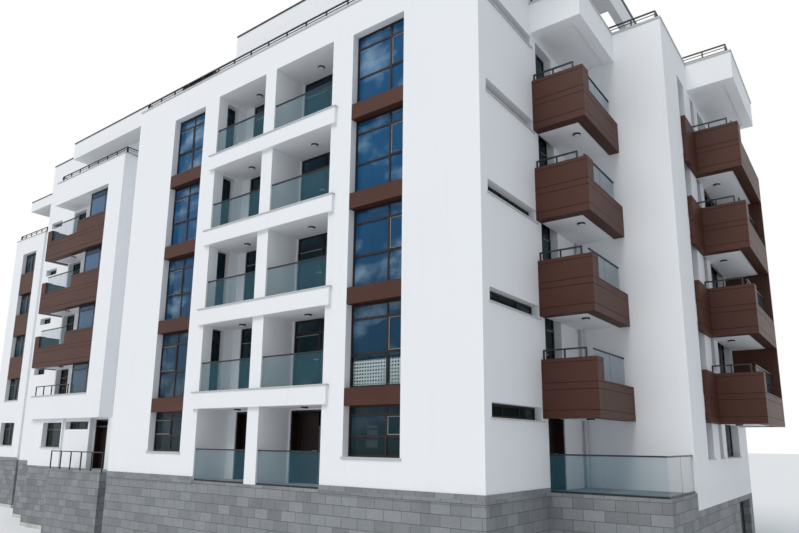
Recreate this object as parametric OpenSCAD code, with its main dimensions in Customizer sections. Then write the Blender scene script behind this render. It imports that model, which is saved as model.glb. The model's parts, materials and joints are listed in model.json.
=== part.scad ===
// Five-storey apartment block with a set-back roof storey, a scale model at 1:2.
// All sizes are millimetres of the model, so each is half of the real one.
// X runs along the long front to the right, Y runs from the front to the back, Z is up.

/* [Storeys] */
// Height from one floor to the next
storey_h = 1500; // [1400:10:1600]
// Height of the ground floor above the foot of the basement
basement_h = 1525; // [1400:5:1600]
// Thickness of a floor slab
slab_t = 125; // [90:5:140]
// Thickness of the foundation slab
base_t = 100; // [80:5:150]
// Height of a wall above the roof terrace, without its coping
parapet_h = 270; // [250:5:400]

/* [Walls] */
// Thickness of an outer wall
wall_t = 175; // [170:5:200]
// Height of the stone plinth above the ground floor
plinth_h = 65; // [20:5:80]
// Thickness of the stone plinth
plinth_t = 10; // [6:1:20]
// How far the right wing's white wall hangs below the ground floor
skirt_h = 250; // [150:5:300]
// Open joint between pieces that meet at a corner
joint = 0.4; // [0.3:0.1:0.6]

/* [Main block] */
// Length of the main front
main_w = 8500; // [8300:10:8700]
// Depth of the building, front to back
block_d = 8000; // [7800:50:8400]
// Distance from the right corner to the right window column
stack_right_in = 1290; // [1200:10:1350]
// Width of the right window column
stack_right_w = 1020; // [900:10:1100]
// Distance from the right corner to the loggias
loggia_in = 2745; // [2650:5:2800]
// Width of the right loggia
loggia_right_w = 1385; // [1300:5:1450]
// Width of the pier between the loggias
loggia_pier_w = 275; // [200:5:320]
// Width of the left loggia
loggia_left_w = 1335; // [1250:5:1400]
// Depth of a loggia
loggia_d = 675; // [600:5:750]
// Distance from the right corner to the left window column
stack_left_in = 6170; // [6100:10:6300]
// Width of the left window column
stack_left_w = 1005; // [900:5:1100]
// Height of a loggia's front edge
fascia_h = 280; // [200:5:300]
// How far the white bands under the roof terrace hang below it
top_drop = 250; // [200:5:300]
// How far a loggia's front edge stands out
fascia_out = 55; // [30:5:80]
// How far a loggia's front edge runs past the loggia at each end
fascia_lap = 120; // [50:5:140]
// Distance from the front to a loggia's side window
loggia_window_y = 205; // [190:5:260]
// Width of a loggia's side window
loggia_window_w = 275; // [200:5:300]
// Width of the plain wall left of the left loggia's door
loggia_strip_w = 225; // [200:5:260]
// Width of the plain wall right of the right loggia's door
loggia_end_w = 155; // [120:5:200]
// Set-back of the upper loggia doors from the wall face
loggia_reveal = 20; // [10:5:40]
// Width of the narrow wall between a loggia's door and the pier
loggia_nib_w = 30; // [20:5:40]

/* [Window columns] */
// Distance from a window's head up to the next floor
head_drop = 310; // [290:5:340]
// Distance from a floor down to the foot of its window
sill_drop = 55; // [20:5:80]
// Height of the ground-floor sills
ground_sill = 470; // [400:5:600]
// Set-back of the windows from the wall face
reveal = 125; // [60:5:130]
// Depth of a window frame
frame_d = 35; // [25:1:38]
// Face width of a window frame
frame_w = 34; // [24:1:45]
// Width of a glazing bar
bar_w = 30; // [20:1:40]
// Thickness of the window glass
glass_t = 12; // [8:1:16]
// Thickness of a stone sill
sill_t = 20; // [12:1:30]
// How far a stone sill stands out
sill_out = 25; // [10:1:40]

/* [Right side] */
// Distance from the front to the high strip windows
strip_in = 190; // [180:5:250]
// Length of a strip window
strip_w = 1530; // [1400:10:1560]
// Height of a strip window
strip_h = 190; // [150:5:240]
// Distance from the front to the first balconies
balcony_y = 1715; // [1700:5:1740]
// How far the first balconies stand out
balcony_out = 840; // [760:5:900]
// Distance from the front to the garden terrace
terrace_y = 1875; // [1860:5:1890]
// Distance from the front to the balcony doors
side_door_y = 1900; // [1895:5:1950]
// Width of a balcony door opening
side_door_w = 620; // [580:5:700]
// Distance from the front to the right wing
wing_y = 3300; // [3280:5:3400]
// How far the right wing stands out past the main corner
wing_out = 1650; // [1550:5:1750]
// Distance from the front to the right wing's narrow windows
wing_narrow_y = 4250; // [4200:5:4300]
// Width of the right wing's narrow windows
wing_narrow_w = 475; // [400:5:500]
// Distance from the right wing's narrow windows to the small ones
wing_small_gap = 485; // [450:5:500]
// Width of the right wing's small windows
wing_small_w = 300; // [280:5:350]
// Distance from the right wing's small windows to the wide ones
wing_wide_gap = 315; // [300:5:350]
// Distance from the back to the right wing's wide windows
wing_wide_in = 875; // [850:5:950]
// Distance from the front to the rear balconies' side cladding
rear_clad_y = 4275; // [4250:5:4300]
// Distance from the front to the rear balconies
rear_balcony_y = 5025; // [5000:5:5030]
// Distance from the back to the rear balconies
rear_balcony_in = 700; // [650:5:720]
// How far the rear balconies stand out
rear_balcony_out = 785; // [700:5:850]
// How far the side cladding stands out
clad_out = 75; // [50:5:100]
// Distance from the back to the garage opening
garage_in = 350; // [300:10:450]
// Width of the garage opening
garage_w = 1100; // [1000:10:1150]
// Height of the garage opening above the foundation slab
garage_h = 1085; // [1000:5:1100]
// Thickness of the garage shutter
shutter_t = 30; // [20:1:40]

/* [Balconies] */
// Thickness of a clad balcony front
panel_t = 175; // [120:5:180]
// How far the cladding hangs below the floor
panel_drop = 465; // [420:5:500]
// How far the tall cladding stands above the floor
panel_rise = 390; // [350:5:430]
// How far the low cladding stands above the floor
panel_low = 65; // [40:5:100]
// Length of the tall cladding on a balcony's side
panel_return = 250; // [200:5:300]
// Height of a balcony's soffit above the foot of its cladding
soffit_up = 15; // [5:1:40]
// Height of a handrail above the floor
rail_h = 540; // [500:5:600]
// Thickness of a glass railing
guard_t = 12; // [8:1:16]
// Side of a handrail bar
rail_t = 22; // [16:1:30]
// Set-back of a balcony's glass railing from the face of its cladding
guard_in = 130; // [60:5:140]
// Set-back of a loggia's or terrace's glass railing from its edge
edge_in = 30; // [20:1:60]
// Height of the channel that holds a glass railing
channel_h = 25; // [15:1:40]
// Thickness of the screen at the rear balconies' far end
screen_t = 60; // [40:5:80]

/* [Left side] */
// Distance from the main block to the left bay
left_gap = 2140; // [2050:5:2200]
// Width of the left bay's plain pier
left_pier_w = 670; // [600:5:700]
// Width of the left bay's windows
left_window_w = 1090; // [1000:5:1150]
// Width of the open part of the left balconies
left_open_w = 1725; // [1650:5:1800]
// How far the left balconies run past the left bay
left_over = 225; // [150:5:300]
// Width of the left balconies' glass railing
left_glass_w = 1380; // [1300:5:1450]
// Width of the left balconies' left end piece
left_tall_w = 250; // [200:5:300]
// Set-back of the left bay from the main front
left_y = 860; // [800:5:880]
// Set-back of the wall behind the left balconies
left_back_y = 1400; // [1350:5:1450]
// Set-back of the ground-floor wall between the left bay and the entrance
left_step_y = 1000; // [980:5:1030]
// How far the left bay hangs below the first floor
left_drop = 325; // [300:5:360]
// Height of the left bay's first-floor parapet
left_rise = 250; // [200:5:300]
// How far the left bay's top band hangs below the roof terrace
band_drop = 385; // [350:5:420]
// Set-back of the left bay's ground-floor wall
left_ground_y = 950; // [940:5:980]
// Width of the left bay's ground-floor wall
left_ground_w = 1645; // [1600:5:1700]
// Width of the left bay's ground-floor window
left_ground_window_w = 970; // [900:5:1000]
// Height of the left bay's ground-floor window
left_ground_window_h = 610; // [550:5:650]
// Length of the ground-floor strip window beside the entrance
left_ground_strip_w = 1100; // [1000:5:1120]
// Distance from that strip window up to the underside of the left bay
ground_strip_drop = 77.5; // [60:2.5:120]
// Distance of the left bay's ground-floor windows from the corner between them
left_window_in = 50; // [40:5:60]
// Distance from the left wing's corner to its strip windows
left_strip_in = 265; // [200:5:300]
// Length of the left wing's strip windows
left_strip_w = 640; // [600:5:700]
// Width of the door to the left balconies
left_door_w = 650; // [600:5:700]
// Width of the wall left of the door to the left balconies
left_nib_w = 60; // [40:5:80]
// Width of the ground-floor wall between the left bay and the entrance
left_step_w = 1225; // [1180:5:1250]
// Set-back of the entrance wall
entrance_y = 1125; // [1100:5:1150]
// Set-back of the upper wall between the left bay and the main block
link_wall_y = 1240; // [1220:5:1260]
// Width of the entrance doorway
entrance_w = 560; // [520:5:600]
// Height of the entrance doorway
entrance_h = 1140; // [1100:5:1160]
// Height of the glazed part over the entrance door
transom_h = 150; // [100:5:200]
// Width of the wall left of the entrance doorway
entrance_in = 20; // [15:5:40]
// Length of the entrance landing
landing_l = 2300; // [2200:10:2400]
// How far the entrance landing runs past the doorway's corner to the left
landing_over = 545; // [500:5:600]
// Set-back of the entrance landing from the main front
landing_y = 400; // [350:5:450]
// Height of the landing's railing
landing_rail_h = 410; // [380:5:450]
// Set-back of the left wing
left_wing_y = 1650; // [1600:5:1700]
// Width of the left wing
left_wing_w = 2125; // [2050:5:2200]
// Set-back of the link between the left wing and the end block
link_y = 2950; // [2900:5:3000]
// Width of the link
link_w = 2570; // [2500:5:2650]
// Set-back of the end block
end_y = 2675; // [2600:5:2700]
// Width of the end block
end_w = 2165; // [2100:5:2250]
// Distance from the end block's right corner to its window column
stack_end_in = 500; // [450:5:550]
// Width of the end block's window column
stack_end_w = 1005; // [900:5:1100]
// Distance from a floor up to the sills of the end block
end_sill = 440; // [350:5:480]

/* [Doors] */
// Thickness of a door leaf
leaf_t = 32; // [28:1:34]
// Clearance around a door leaf
leaf_gap = 7.5; // [7.5:0.5:10]
// Depth of a door frame
door_frame_d = 155; // [140:5:165]
// Face width of a glazed door leaf's frame
stile_w = 50; // [40:1:60]
// Width of a garden door's leaf
leaf_w = 480; // [440:5:500]
// Radius of a hinge barrel
hinge_r = 12; // [9:0.5:14]
// Radius of a hinge pin
pin_r = 6; // [4:0.5:7]
// Height of one half of a hinge
hinge_h = 45; // [35:1:60]
// Width of a hinge's plate
plate_w = 32; // [25:1:34]
// Thickness of a hinge's plate
plate_t = 5; // [3:0.5:6]

/* [Roof] */
// Thickness of a wall coping
coping_t = 30; // [20:1:40]
// How far trims and copings stand out
lip = 15; // [8:1:20]
// Height of the roof railing above the coping
roof_rail_h = 200; // [150:5:250]
// Distance between the posts of the roof railing
post_step = 500; // [400:10:600]
// Height of the roof storey's ceiling above the terrace
roof_storey_h = 1150; // [1100:5:1250]
// Height of the roof edge
roof_edge_h = 475; // [400:5:500]
// Height of the pergola's edge at the right end of the roof
pergola_h = 350; // [300:5:400]
// Thickness of the upper roof's plates
roof_t = 150; // [120:5:200]
// Distance from the main corner to the opening in the pergola
pergola_in = 600; // [500:5:700]
// Width of the pergola's outer beam
pergola_beam = 140; // [100:5:180]
// Distance from the front to the opening in the pergola
pergola_y = 3825; // [3700:5:3900]
// Length of the opening in the pergola
pergola_l = 1675; // [1500:5:1800]
// Width of the roof storey's main part
roof_main_w = 6240; // [6000:10:6500]
// Set-back of the roof storey from the main front
roof_front_y = 700; // [650:5:800]
// Set-back of the upper roof over the left bay
roof_left_y = 1200; // [1150:5:1250]
// Set-back of the roof storey from the back
roof_back_in = 750; // [600:10:900]
// How far the pergola stands out past the main corner
pergola_out = 775; // [700:5:850]
// Distance from the left end of the building to the canopy over its terrace
canopy_in = 835; // [700:5:900]
// Height of the dark roof trim
trim_h = 30; // [20:5:50]
// Distance from the first roof window to the end of its wall
roof_window_in = 500; // [400:10:600]
// Distance between the roof storey's windows
roof_window_step = 1900; // [1700:10:1950]
// Distance from the main block's left corner to the dark roof unit
roof_unit_in = 1000; // [800:10:1100]
// Width of the roof unit
roof_unit_w = 1100; // [1000:10:1200]
// Distance from the front to the roof unit
roof_unit_y = 300; // [250:5:350]
// Depth of the roof unit
roof_unit_d = 280; // [200:5:290]
// Height of the roof unit
roof_unit_h = 725; // [600:5:800]

/* [Rear and end] */
// Distance from the left end to the first rear window column
rear_in = 1100; // [1000:10:1200]
// Distance between the rear window columns
rear_step = 2750; // [2600:10:2800]
// Width of a rear window
rear_w = 1005; // [900:5:1100]
// Distance from the end block's front corner to the first window in the left end
end_in = 1100; // [1000:10:1200]
// Width of a window in the left end
end_window_w = 700; // [600:5:800]
// Distance between the windows in the left end
end_step = 2000; // [1900:10:2100]

/* [Hidden] */

upper = 4;
terrace = upper + 1;
eps = 1;

// Places along X, from the main corner at 0
loggia_r = -loggia_in;
pier_r = loggia_r - loggia_right_w;
pier_l = pier_r - loggia_pier_w;
loggia_l = pier_l - loggia_left_w;
main_l = -main_w;
bay_r = main_l - left_gap;
bay_window_r = bay_r - left_pier_w;
bay_window_l = bay_window_r - left_window_w;
bay_l = bay_window_l - left_open_w;
left_end = bay_l - left_over;
left_glass_l = left_end + left_tall_w + joint;
left_glass_r = left_glass_l - joint + left_glass_w;
left_step_r = bay_l + left_ground_w;
entrance_r = left_step_r + left_step_w;
landing_left = entrance_r - landing_over;
left_wing_l = bay_l - left_wing_w;
end_r = left_wing_l - link_w;
end_l = end_r - end_w;
wing_r = wing_out;
rear_r = wing_r + rear_balcony_out;

roof_main_l = -roof_main_w;
canopy_l = end_l + canopy_in;
pergola_a = -pergola_in;
pergola_b = pergola_out - pergola_beam;
entrance_a = entrance_r + entrance_in;
entrance_b = entrance_a + entrance_w;
door_right_a = pier_r + loggia_nib_w;
door_right_b = loggia_r - loggia_end_w;
door_left_a = loggia_l + loggia_strip_w;
door_left_b = pier_l - loggia_nib_w;

// Places along Y
loggia_back = loggia_d + wall_t;
entrance_back = entrance_y + wall_t;
link_wall_back = link_wall_y + wall_t;
left_back = left_back_y + wall_t;
bay_frame_y = left_y + wall_t - reveal - frame_d;
roof_back = block_d - roof_back_in;
pergola_end = pergola_y + pergola_l;
wing_small_y = wing_narrow_y + wing_narrow_w + wing_small_gap;
wing_wide_y = wing_small_y + wing_small_w + wing_wide_gap;
wing_wide_end = block_d - wing_wide_in;
garage_y = block_d - garage_in - garage_w;
garage = [garage_y, garage_y + garage_w, base_t - eps, base_t + garage_h];
rear_end = block_d - rear_balcony_in;
guard_y = rear_end - screen_t;
side_door_end = side_door_y + side_door_w;

// The model stands with the middle of its box over the origin
reach = max(lip, sill_out, plinth_t);
mid_x = (end_l - reach + rear_r + lip) / 2;
mid_y = (block_d + reach - fascia_out - lip) / 2;

// Heights
function level(k) = basement_h + k * storey_h;
roof_floor = level(terrace);
wall_top = roof_floor + parapet_h;
wing_foot = level(0) - skirt_h;
bay_foot = level(1) - left_drop;
band_foot = roof_floor - band_drop;
top_foot = roof_floor - top_drop;
ceiling = roof_floor + roof_storey_h;
roof_top = ceiling + roof_edge_h;

// Openings in a wall are [from, to, foot, head], one for each storey
function head(k) = level(k + 1) - head_drop;
function sill(k) = k == 0 ? level(0) + ground_sill : level(k) - sill_drop;
function column(a, b) = [for (k = [0:upper]) [a, b, sill(k), head(k)]];
function doors(a, b, first = 0) = [for (k = [first:upper]) [a, b, level(k), head(k)]];
function strips(a, b) = [for (k = [0:upper]) [a, b, head(k) - strip_h, head(k)]];
function raised(a, b, rise, first = 0) = [for (k = [first:upper]) [a, b, level(k) + rise, head(k)]];

function slot(holes) = [holes[0][0], holes[0][1], holes[0][2], holes[len(holes) - 1][3]];

stack_right = column(-stack_right_in - stack_right_w, -stack_right_in);
stack_left = column(-stack_left_in - stack_left_w, -stack_left_in);
stack_end = raised(end_r - stack_end_in - stack_end_w, end_r - stack_end_in, end_sill);
side_strips = strips(strip_in, strip_in + strip_w);
side_doors = doors(side_door_y, side_door_end, 1);
wing_narrow = [for (k = [0:upper])
    [wing_narrow_y, wing_narrow_y + wing_narrow_w, k == 0 ? level(0) + ground_sill : level(k), head(k)]];
wing_small = raised(wing_small_y, wing_small_y + wing_small_w, ground_sill);
wing_wide = raised(wing_wide_y, wing_wide_end, ground_sill);

module place() translate([-mid_x, -mid_y, 0]) children();

module block(x0, x1, y0, y1, z0, z1) translate([x0, y0, z0]) cube([x1 - x0, y1 - y0, z1 - z0]);

// Turn what is drawn for a front wall to a wall that faces another way, with its face at p
module on_front(p) translate([0, p, 0]) children();
module on_right(p) translate([p, 0, 0]) rotate([0, 0, 90]) children();
module on_back(p) translate([0, p, 0]) mirror([0, 1, 0]) children();
module on_left(p) translate([p, 0, 0]) mirror([1, -1, 0]) children();

// A wall from a to b with its holes
module wall(a, b, foot, top, holes = []) {
    difference() {
        block(a, b, 0, wall_t, foot, top);
        for (h = holes) block(h[0], h[1], -eps, wall_t + eps, h[2], h[3]);
    }
}

// Window frames: cols and rows are the shares at which bars stand
module frames(holes, cols = [], rows = []) {
    bar_d = (frame_d - glass_t) / 2;
    for (h = holes) {
        translate([0, reveal, 0]) difference() {
            block(h[0], h[1], 0, frame_d, h[2], h[3]);
            block(h[0] + frame_w, h[1] - frame_w, -eps, frame_d + eps, h[2] + frame_w, h[3] - frame_w);
        }
        for (c = cols)
            translate([h[0] + c * (h[1] - h[0]) - bar_w / 2, reveal, h[2] + frame_w / 2])
                cube([bar_w, bar_d, h[3] - h[2] - frame_w]);
        for (r = rows)
            translate([h[0] + frame_w / 2, reveal, h[2] + r * (h[3] - h[2]) - bar_w / 2])
                cube([h[1] - h[0] - frame_w, bar_d, bar_w]);
    }
}

module panes(holes) {
    glass_in = reveal + (frame_d - glass_t) / 2;
    for (h = holes)
        block(h[0] + frame_w, h[1] - frame_w, glass_in, glass_in + glass_t, h[2] + frame_w, h[3] - frame_w);
}

module sills(holes) {
    for (h = holes)
        block(h[0] - sill_out, h[1] + sill_out, -sill_out, 0, h[2] - sill_t, h[2]);
}

end_upper = [for (k = [1:upper]) stack_end[k]];
loggia_windows = doors(loggia_window_y, loggia_window_y + loggia_window_w, 1);
function loggia_top(k) = k == upper ? top_foot : level(k + 1) - fascia_h;
loggia_doors = [for (k = [1:upper]) for (d = [[door_left_a, door_left_b], [door_right_a, door_right_b]])
    [d[0], d[1], level(k), loggia_top(k)]];
loggia_frame_y = loggia_d + loggia_reveal - reveal;
ground_window_r = left_step_r - left_window_in;
left_ground_window = [[ground_window_r - left_ground_window_w, ground_window_r,
    level(0) + ground_sill, level(0) + ground_sill + left_ground_window_h]];
ground_strip_l = left_step_r + left_window_in;
ground_strip_top = bay_foot - ground_strip_drop;
left_ground_strip = [[ground_strip_l, ground_strip_l + left_ground_strip_w,
    ground_strip_top - strip_h, ground_strip_top]];
left_strip_l = left_wing_l + left_strip_in;
left_door_l = bay_l + left_nib_w;
left_strips = [for (k = [1:upper]) [left_strip_l, left_strip_l + left_strip_w, head(k) - strip_h, head(k)]];
left_doors = [for (k = [1:upper])
    [left_door_l, left_door_l + left_door_w, level(k), level(k + 1) - panel_drop]];
first_sill = level(1) + left_rise + coping_t;
bay_windows = [for (k = [1:upper]) [bay_window_l, bay_window_r, k == 1 ? first_sill : level(k) + panel_rise,
    k == upper ? band_foot : level(k + 1) - panel_drop]];
rear_columns = [for (i = [0:6]) let (a = end_l + rear_in + i * rear_step) column(a, a + rear_w)];
rear_openings = [for (c = rear_columns) each c];
end_openings = [for (i = [0:1])
    each raised(end_y + end_in + i * end_step, end_y + end_in + i * end_step + end_window_w, end_sill)];
roof_openings = [for (i = [0:2]) [roof_main_l + roof_window_in + i * roof_window_step,
    roof_main_l + roof_window_in + i * roof_window_step + rear_w, roof_floor + end_sill, ceiling - slab_t]];

module base_slab() color("dimgray") place() {
    block(end_l, end_r, end_y, block_d, 0, base_t);
    block(end_r + joint, left_wing_l, link_y, block_d, 0, base_t);
    block(left_wing_l + joint, bay_l, left_wing_y, block_d, 0, base_t);
    block(bay_l + joint, left_step_r, left_ground_y, block_d, 0, base_t);
    block(left_step_r + joint, entrance_r, left_step_y, block_d, 0, base_t);
    block(entrance_r + joint, main_l, entrance_y, block_d, 0, base_t);
    block(main_l + joint, 0, 0, block_d, 0, base_t);
    block(joint, wing_r, wing_y, block_d, 0, base_t);
}

module basement_walls() color("gray") place() {
    foot = base_t;
    top = level(0);
    on_front(0) wall(main_l, 0, foot, top);
    on_left(main_l) wall(wall_t + joint, entrance_back, foot, top);
    on_right(0) wall(wall_t + joint, wing_y - joint, foot, top);
    on_front(wing_y) wall(-wall_t, wing_r, foot, wing_foot);
    on_right(wing_r) wall(wing_y + wall_t + joint, block_d - wall_t - joint, foot, wing_foot, [garage]);
    on_back(block_d) wall(end_l, -joint, foot, top);
    on_back(block_d) wall(0, wing_r, foot, wing_foot);
    on_front(entrance_y) wall(entrance_r + joint, main_l - joint, foot, top);
    on_front(left_step_y) wall(left_step_r + joint, entrance_r, foot, top);
    on_front(left_ground_y) wall(bay_l, left_step_r, foot, top);
    on_left(bay_l) wall(left_ground_y + wall_t + joint, left_wing_y + wall_t, foot, top);
    on_front(left_wing_y) wall(left_wing_l, bay_l - joint, foot, top);
    on_left(left_wing_l) wall(left_wing_y + wall_t + joint, link_y + wall_t, foot, top);
    on_front(link_y) wall(end_r + joint, left_wing_l - joint, foot, top);
    on_right(end_r) wall(end_y + wall_t + joint, link_y + wall_t, foot, top);
    on_front(end_y) wall(end_l, end_r, foot, top);
    on_left(end_l) wall(end_y + wall_t + joint, block_d - wall_t - joint, foot, top);
}

// A strip of stone in front of a wall's foot
module plinth(a, b) block(a, b, -plinth_t, 0, level(0) - plinth_h, level(0) + plinth_h);

module stone_plinth() color("darkgray") place() {
    on_front(0) plinth(main_l, loggia_l);
    on_front(0) plinth(loggia_r, 0);
    on_right(0) plinth(joint, terrace_y - joint);
    on_front(end_y) plinth(end_l, end_r);
    on_front(left_wing_y) plinth(left_wing_l, bay_l);
    on_back(block_d) plinth(end_l, 0);
    on_left(end_l) plinth(end_y + joint, block_d - joint);
}

module garage_shutter() color("dimgray") place()
    on_right(wing_r) block(garage_y + joint, garage_y + garage_w - joint, reveal, reveal + shutter_t,
        base_t, base_t + garage_h - joint);

module garden_terrace() color("gray") place() block(0, wing_r, terrace_y, wing_y, 0, level(0));

module entrance_landing() color("gray") place() {
    block(landing_left, landing_left + landing_l, landing_y, left_step_y, 0, level(0));
    block(entrance_r, landing_left + landing_l, left_step_y - eps, entrance_y, 0, level(0));
}

// The floors inside the outer walls, as [left, right, front, back]
rooms = [
    [main_l + wall_t, loggia_l - wall_t - joint, wall_t, loggia_back - joint],
    [loggia_r + wall_t + joint, -wall_t, wall_t, loggia_back - joint],
    [main_l + wall_t, -wall_t, loggia_back, wing_y + wall_t - joint],
    [main_l + wall_t, wing_r - wall_t, wing_y + wall_t, block_d - wall_t],
    [bay_r - wall_t + joint, main_l + wall_t - joint, link_wall_back, block_d - wall_t],
    [bay_window_l + wall_t, bay_r - wall_t, link_wall_back, block_d - wall_t],
    [left_wing_l + wall_t, bay_window_l + wall_t - joint, left_wing_y + wall_t, block_d - wall_t],
    [end_r - wall_t, left_wing_l + wall_t - joint, link_y + wall_t, block_d - wall_t],
    [end_l + wall_t, end_r - wall_t - joint, end_y + wall_t, block_d - wall_t]
];
upper_rooms = [
    [bay_window_l + wall_t, bay_r - wall_t, left_y + wall_t + joint, link_wall_back - joint],
    [bay_l + wall_t, bay_window_l + wall_t - joint, left_back, left_wing_y + wall_t - joint]
];
ground_rooms = [
    [bay_l + wall_t, left_step_r - joint, left_ground_y + wall_t, left_wing_y + wall_t - joint],
    [left_step_r, bay_window_l + wall_t - joint, left_step_y + wall_t, left_wing_y + wall_t - joint],
    [bay_window_l + wall_t, entrance_r - joint, left_step_y + wall_t, link_wall_back - joint],
    [entrance_r, main_l - joint, entrance_back, link_wall_back - joint]
];

module floor_slabs() color("lightgray") place() {
    for (k = [0:terrace])
        for (r = concat(rooms, k == 0 ? ground_rooms : k == 1 ? [] : upper_rooms))
            block(r[0], r[1], r[2], r[3], level(k) - slab_t, level(k));
}

module front_walls() color("white") place() {
    on_front(0) wall(loggia_r, 0, level(0), wall_top, [slot(stack_right)]);
    on_front(0) wall(main_l, loggia_l, level(0), wall_top, [slot(stack_left)]);
    on_left(main_l) wall(wall_t + joint, link_wall_back, level(0), wall_top);
}

module loggia_slabs() color("whitesmoke") place() {
    block(loggia_l - wall_t, loggia_r + wall_t, wall_t + joint, loggia_back - joint,
        level(0) - slab_t, level(0));
    for (k = [1:upper]) block(loggia_l, loggia_r, 0, loggia_d, level(k) - fascia_h, level(k));
    block(loggia_l, loggia_r, wall_t + joint, loggia_d, top_foot, roof_floor);
}

module loggia_bands() color("white") place() {
    for (k = [1:upper])
        block(loggia_l - fascia_lap, loggia_r + fascia_lap, -fascia_out, 0, level(k) - fascia_h, level(k));
    on_front(0) wall(loggia_l, loggia_r, top_foot, wall_top);
}

module loggia_side_walls() color("whitesmoke") place() {
    on_right(loggia_l) wall(wall_t + joint, loggia_back, level(0), roof_floor, loggia_windows);
    on_left(loggia_r) wall(wall_t + joint, loggia_back, level(0), roof_floor);
    for (k = [0:upper])
        block(pier_l, pier_r, 0, loggia_d, level(k), loggia_top(k));
}

module loggia_back_wall() color("whitesmoke") place() on_front(loggia_d) {
    wall(loggia_l + joint, door_left_a - joint, level(0), level(1) - joint);
    wall(door_left_b + joint, door_right_a - joint, level(0), level(1) - joint);
    wall(door_right_b + joint, loggia_r - joint, level(0), level(1) - joint);
    wall(door_left_a, door_left_b, head(0), level(1) - joint);
    wall(door_right_a, door_right_b, head(0), level(1) - joint);
    wall(loggia_l + joint, loggia_r - joint, level(1), roof_floor, loggia_doors);
}

module side_walls() color("white") place() on_right(0) {
    wall(wall_t + joint, side_door_y - joint, level(0), roof_floor, side_strips);
    wall(wall_t + joint, roof_front_y - joint, roof_floor + joint, wall_top);
    wall(side_door_end + joint, wing_y - joint, level(0), roof_floor);
    for (k = [0:upper]) wall(side_door_y, side_door_end, head(k), level(k + 1));
}

module wing_walls() color("white") place() {
    on_front(wing_y) wall(-wall_t, wing_r, wing_foot, roof_floor);
    on_front(wing_y) wall(0, wing_r, roof_floor + joint, wall_top);
    on_right(wing_r)
        wall(wing_y + wall_t + joint, block_d - wall_t - joint, wing_foot, wall_top,
            concat([garage], wing_narrow, wing_small, wing_wide));
}

module rear_walls() color("white") place() {
    on_back(block_d) wall(end_l, -joint, level(0), wall_top, [for (c = rear_columns) slot(c)]);
    on_back(block_d) wall(0, wing_r, wing_foot, wall_top);
    on_left(end_l) wall(end_y + wall_t + joint, block_d - wall_t - joint, level(0), wall_top, end_openings);
}

module left_bay_walls() color("white") place() {
    on_front(left_y) wall(bay_window_r, bay_r, bay_foot, wall_top);
    on_right(bay_r) wall(left_y + wall_t + joint, link_wall_back, bay_foot, wall_top);
    on_front(left_y) wall(bay_l, bay_window_r - joint, bay_foot, level(1) + left_rise);
    on_left(bay_l) wall(left_y + wall_t + joint, left_wing_y - joint, bay_foot, level(1) - joint);
    on_left(bay_l) wall(left_y + wall_t + joint, left_back_y - joint, level(1), level(1) + left_rise);
    on_front(left_y) wall(bay_l, bay_window_r - joint, band_foot, wall_top);
    on_left(bay_l) wall(left_y + wall_t + joint, left_wing_y - joint, band_foot, wall_top);
    on_left(bay_window_l) wall(left_y + wall_t + joint, left_back, level(1), band_foot - joint);
    on_front(left_back_y) wall(bay_l, bay_window_l - joint, level(1), band_foot - joint, left_doors);
    on_left(bay_l) wall(left_back + joint, left_wing_y - joint, level(1), band_foot - joint);
    on_front(link_wall_y) wall(bay_r + joint, main_l - joint, bay_foot + joint, wall_top);
}

module left_ground_walls() color("white") place() {
    on_front(left_ground_y) wall(bay_l, left_step_r, level(0), bay_foot, left_ground_window);
    on_front(left_step_y) wall(left_step_r + joint, entrance_r, level(0), bay_foot, left_ground_strip);
    on_left(bay_l) wall(left_ground_y + wall_t + joint, left_wing_y + wall_t, level(0), bay_foot);
}

module left_wing_walls() color("white") place() {
    on_front(left_wing_y) wall(left_wing_l, bay_l - joint, level(0), bay_foot);
    on_front(left_wing_y) wall(left_wing_l, bay_l + wall_t, bay_foot + joint, ceiling, left_strips);
    on_left(left_wing_l) wall(left_wing_y + wall_t + joint, link_y + wall_t, level(0), ceiling);
    on_front(link_y) wall(end_r + joint, left_wing_l - joint, level(0), wall_top);
}

module end_block_walls() color("white") place() {
    on_front(end_y) wall(end_l, end_r, level(0), wall_top, [stack_end[0], slot(end_upper)]);
    on_right(end_r) wall(end_y + wall_t + joint, link_y + wall_t, level(0), wall_top);
}

module entrance_wall() color("white") place() on_front(entrance_y) {
    wall(entrance_r + joint, entrance_a - joint, level(0), bay_foot);
    wall(entrance_b + joint, main_l - joint, level(0), bay_foot);
    wall(entrance_a, entrance_b, level(0) + entrance_h, bay_foot);
}

// The panels between the windows of a column
module spandrel_panels(holes) {
    for (k = [1:len(holes) - 1])
        block(holes[k][0], holes[k][1], 0, wall_t, holes[k - 1][3], holes[k][2]);
}

module spandrels() color("saddlebrown") place() {
    on_front(0) spandrel_panels(stack_right);
    on_front(0) spandrel_panels(stack_left);
    on_front(end_y) spandrel_panels(end_upper);
    on_back(block_d) for (c = rear_columns) spandrel_panels(c);
}

module window_sills() color("lightgray") place() {
    on_front(0) sills([stack_right[0], stack_left[0]]);
    on_front(end_y) sills([stack_end[0], end_upper[0]]);
    on_front(left_ground_y) sills(left_ground_window);
    on_right(0) sills(side_strips);
    on_right(wing_r) sills([wing_narrow[0], wing_small[0], wing_wide[0]]);
    on_back(block_d) sills([for (c = rear_columns) c[0]]);
    on_left(end_l) sills(end_openings);
}

module front_window_frames() color("saddlebrown") place() {
    on_front(0) frames(stack_right, [0.67], [0.4, 0.82]);
    on_front(0) frames(stack_left, [0.5], [0.4, 0.82]);
    on_front(loggia_frame_y) frames(loggia_doors, [0.5], [0.8]);
    on_right(loggia_l) frames(loggia_windows, [], [0.8]);
    on_front(roof_front_y) frames(roof_openings, [0.5]);
}

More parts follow.
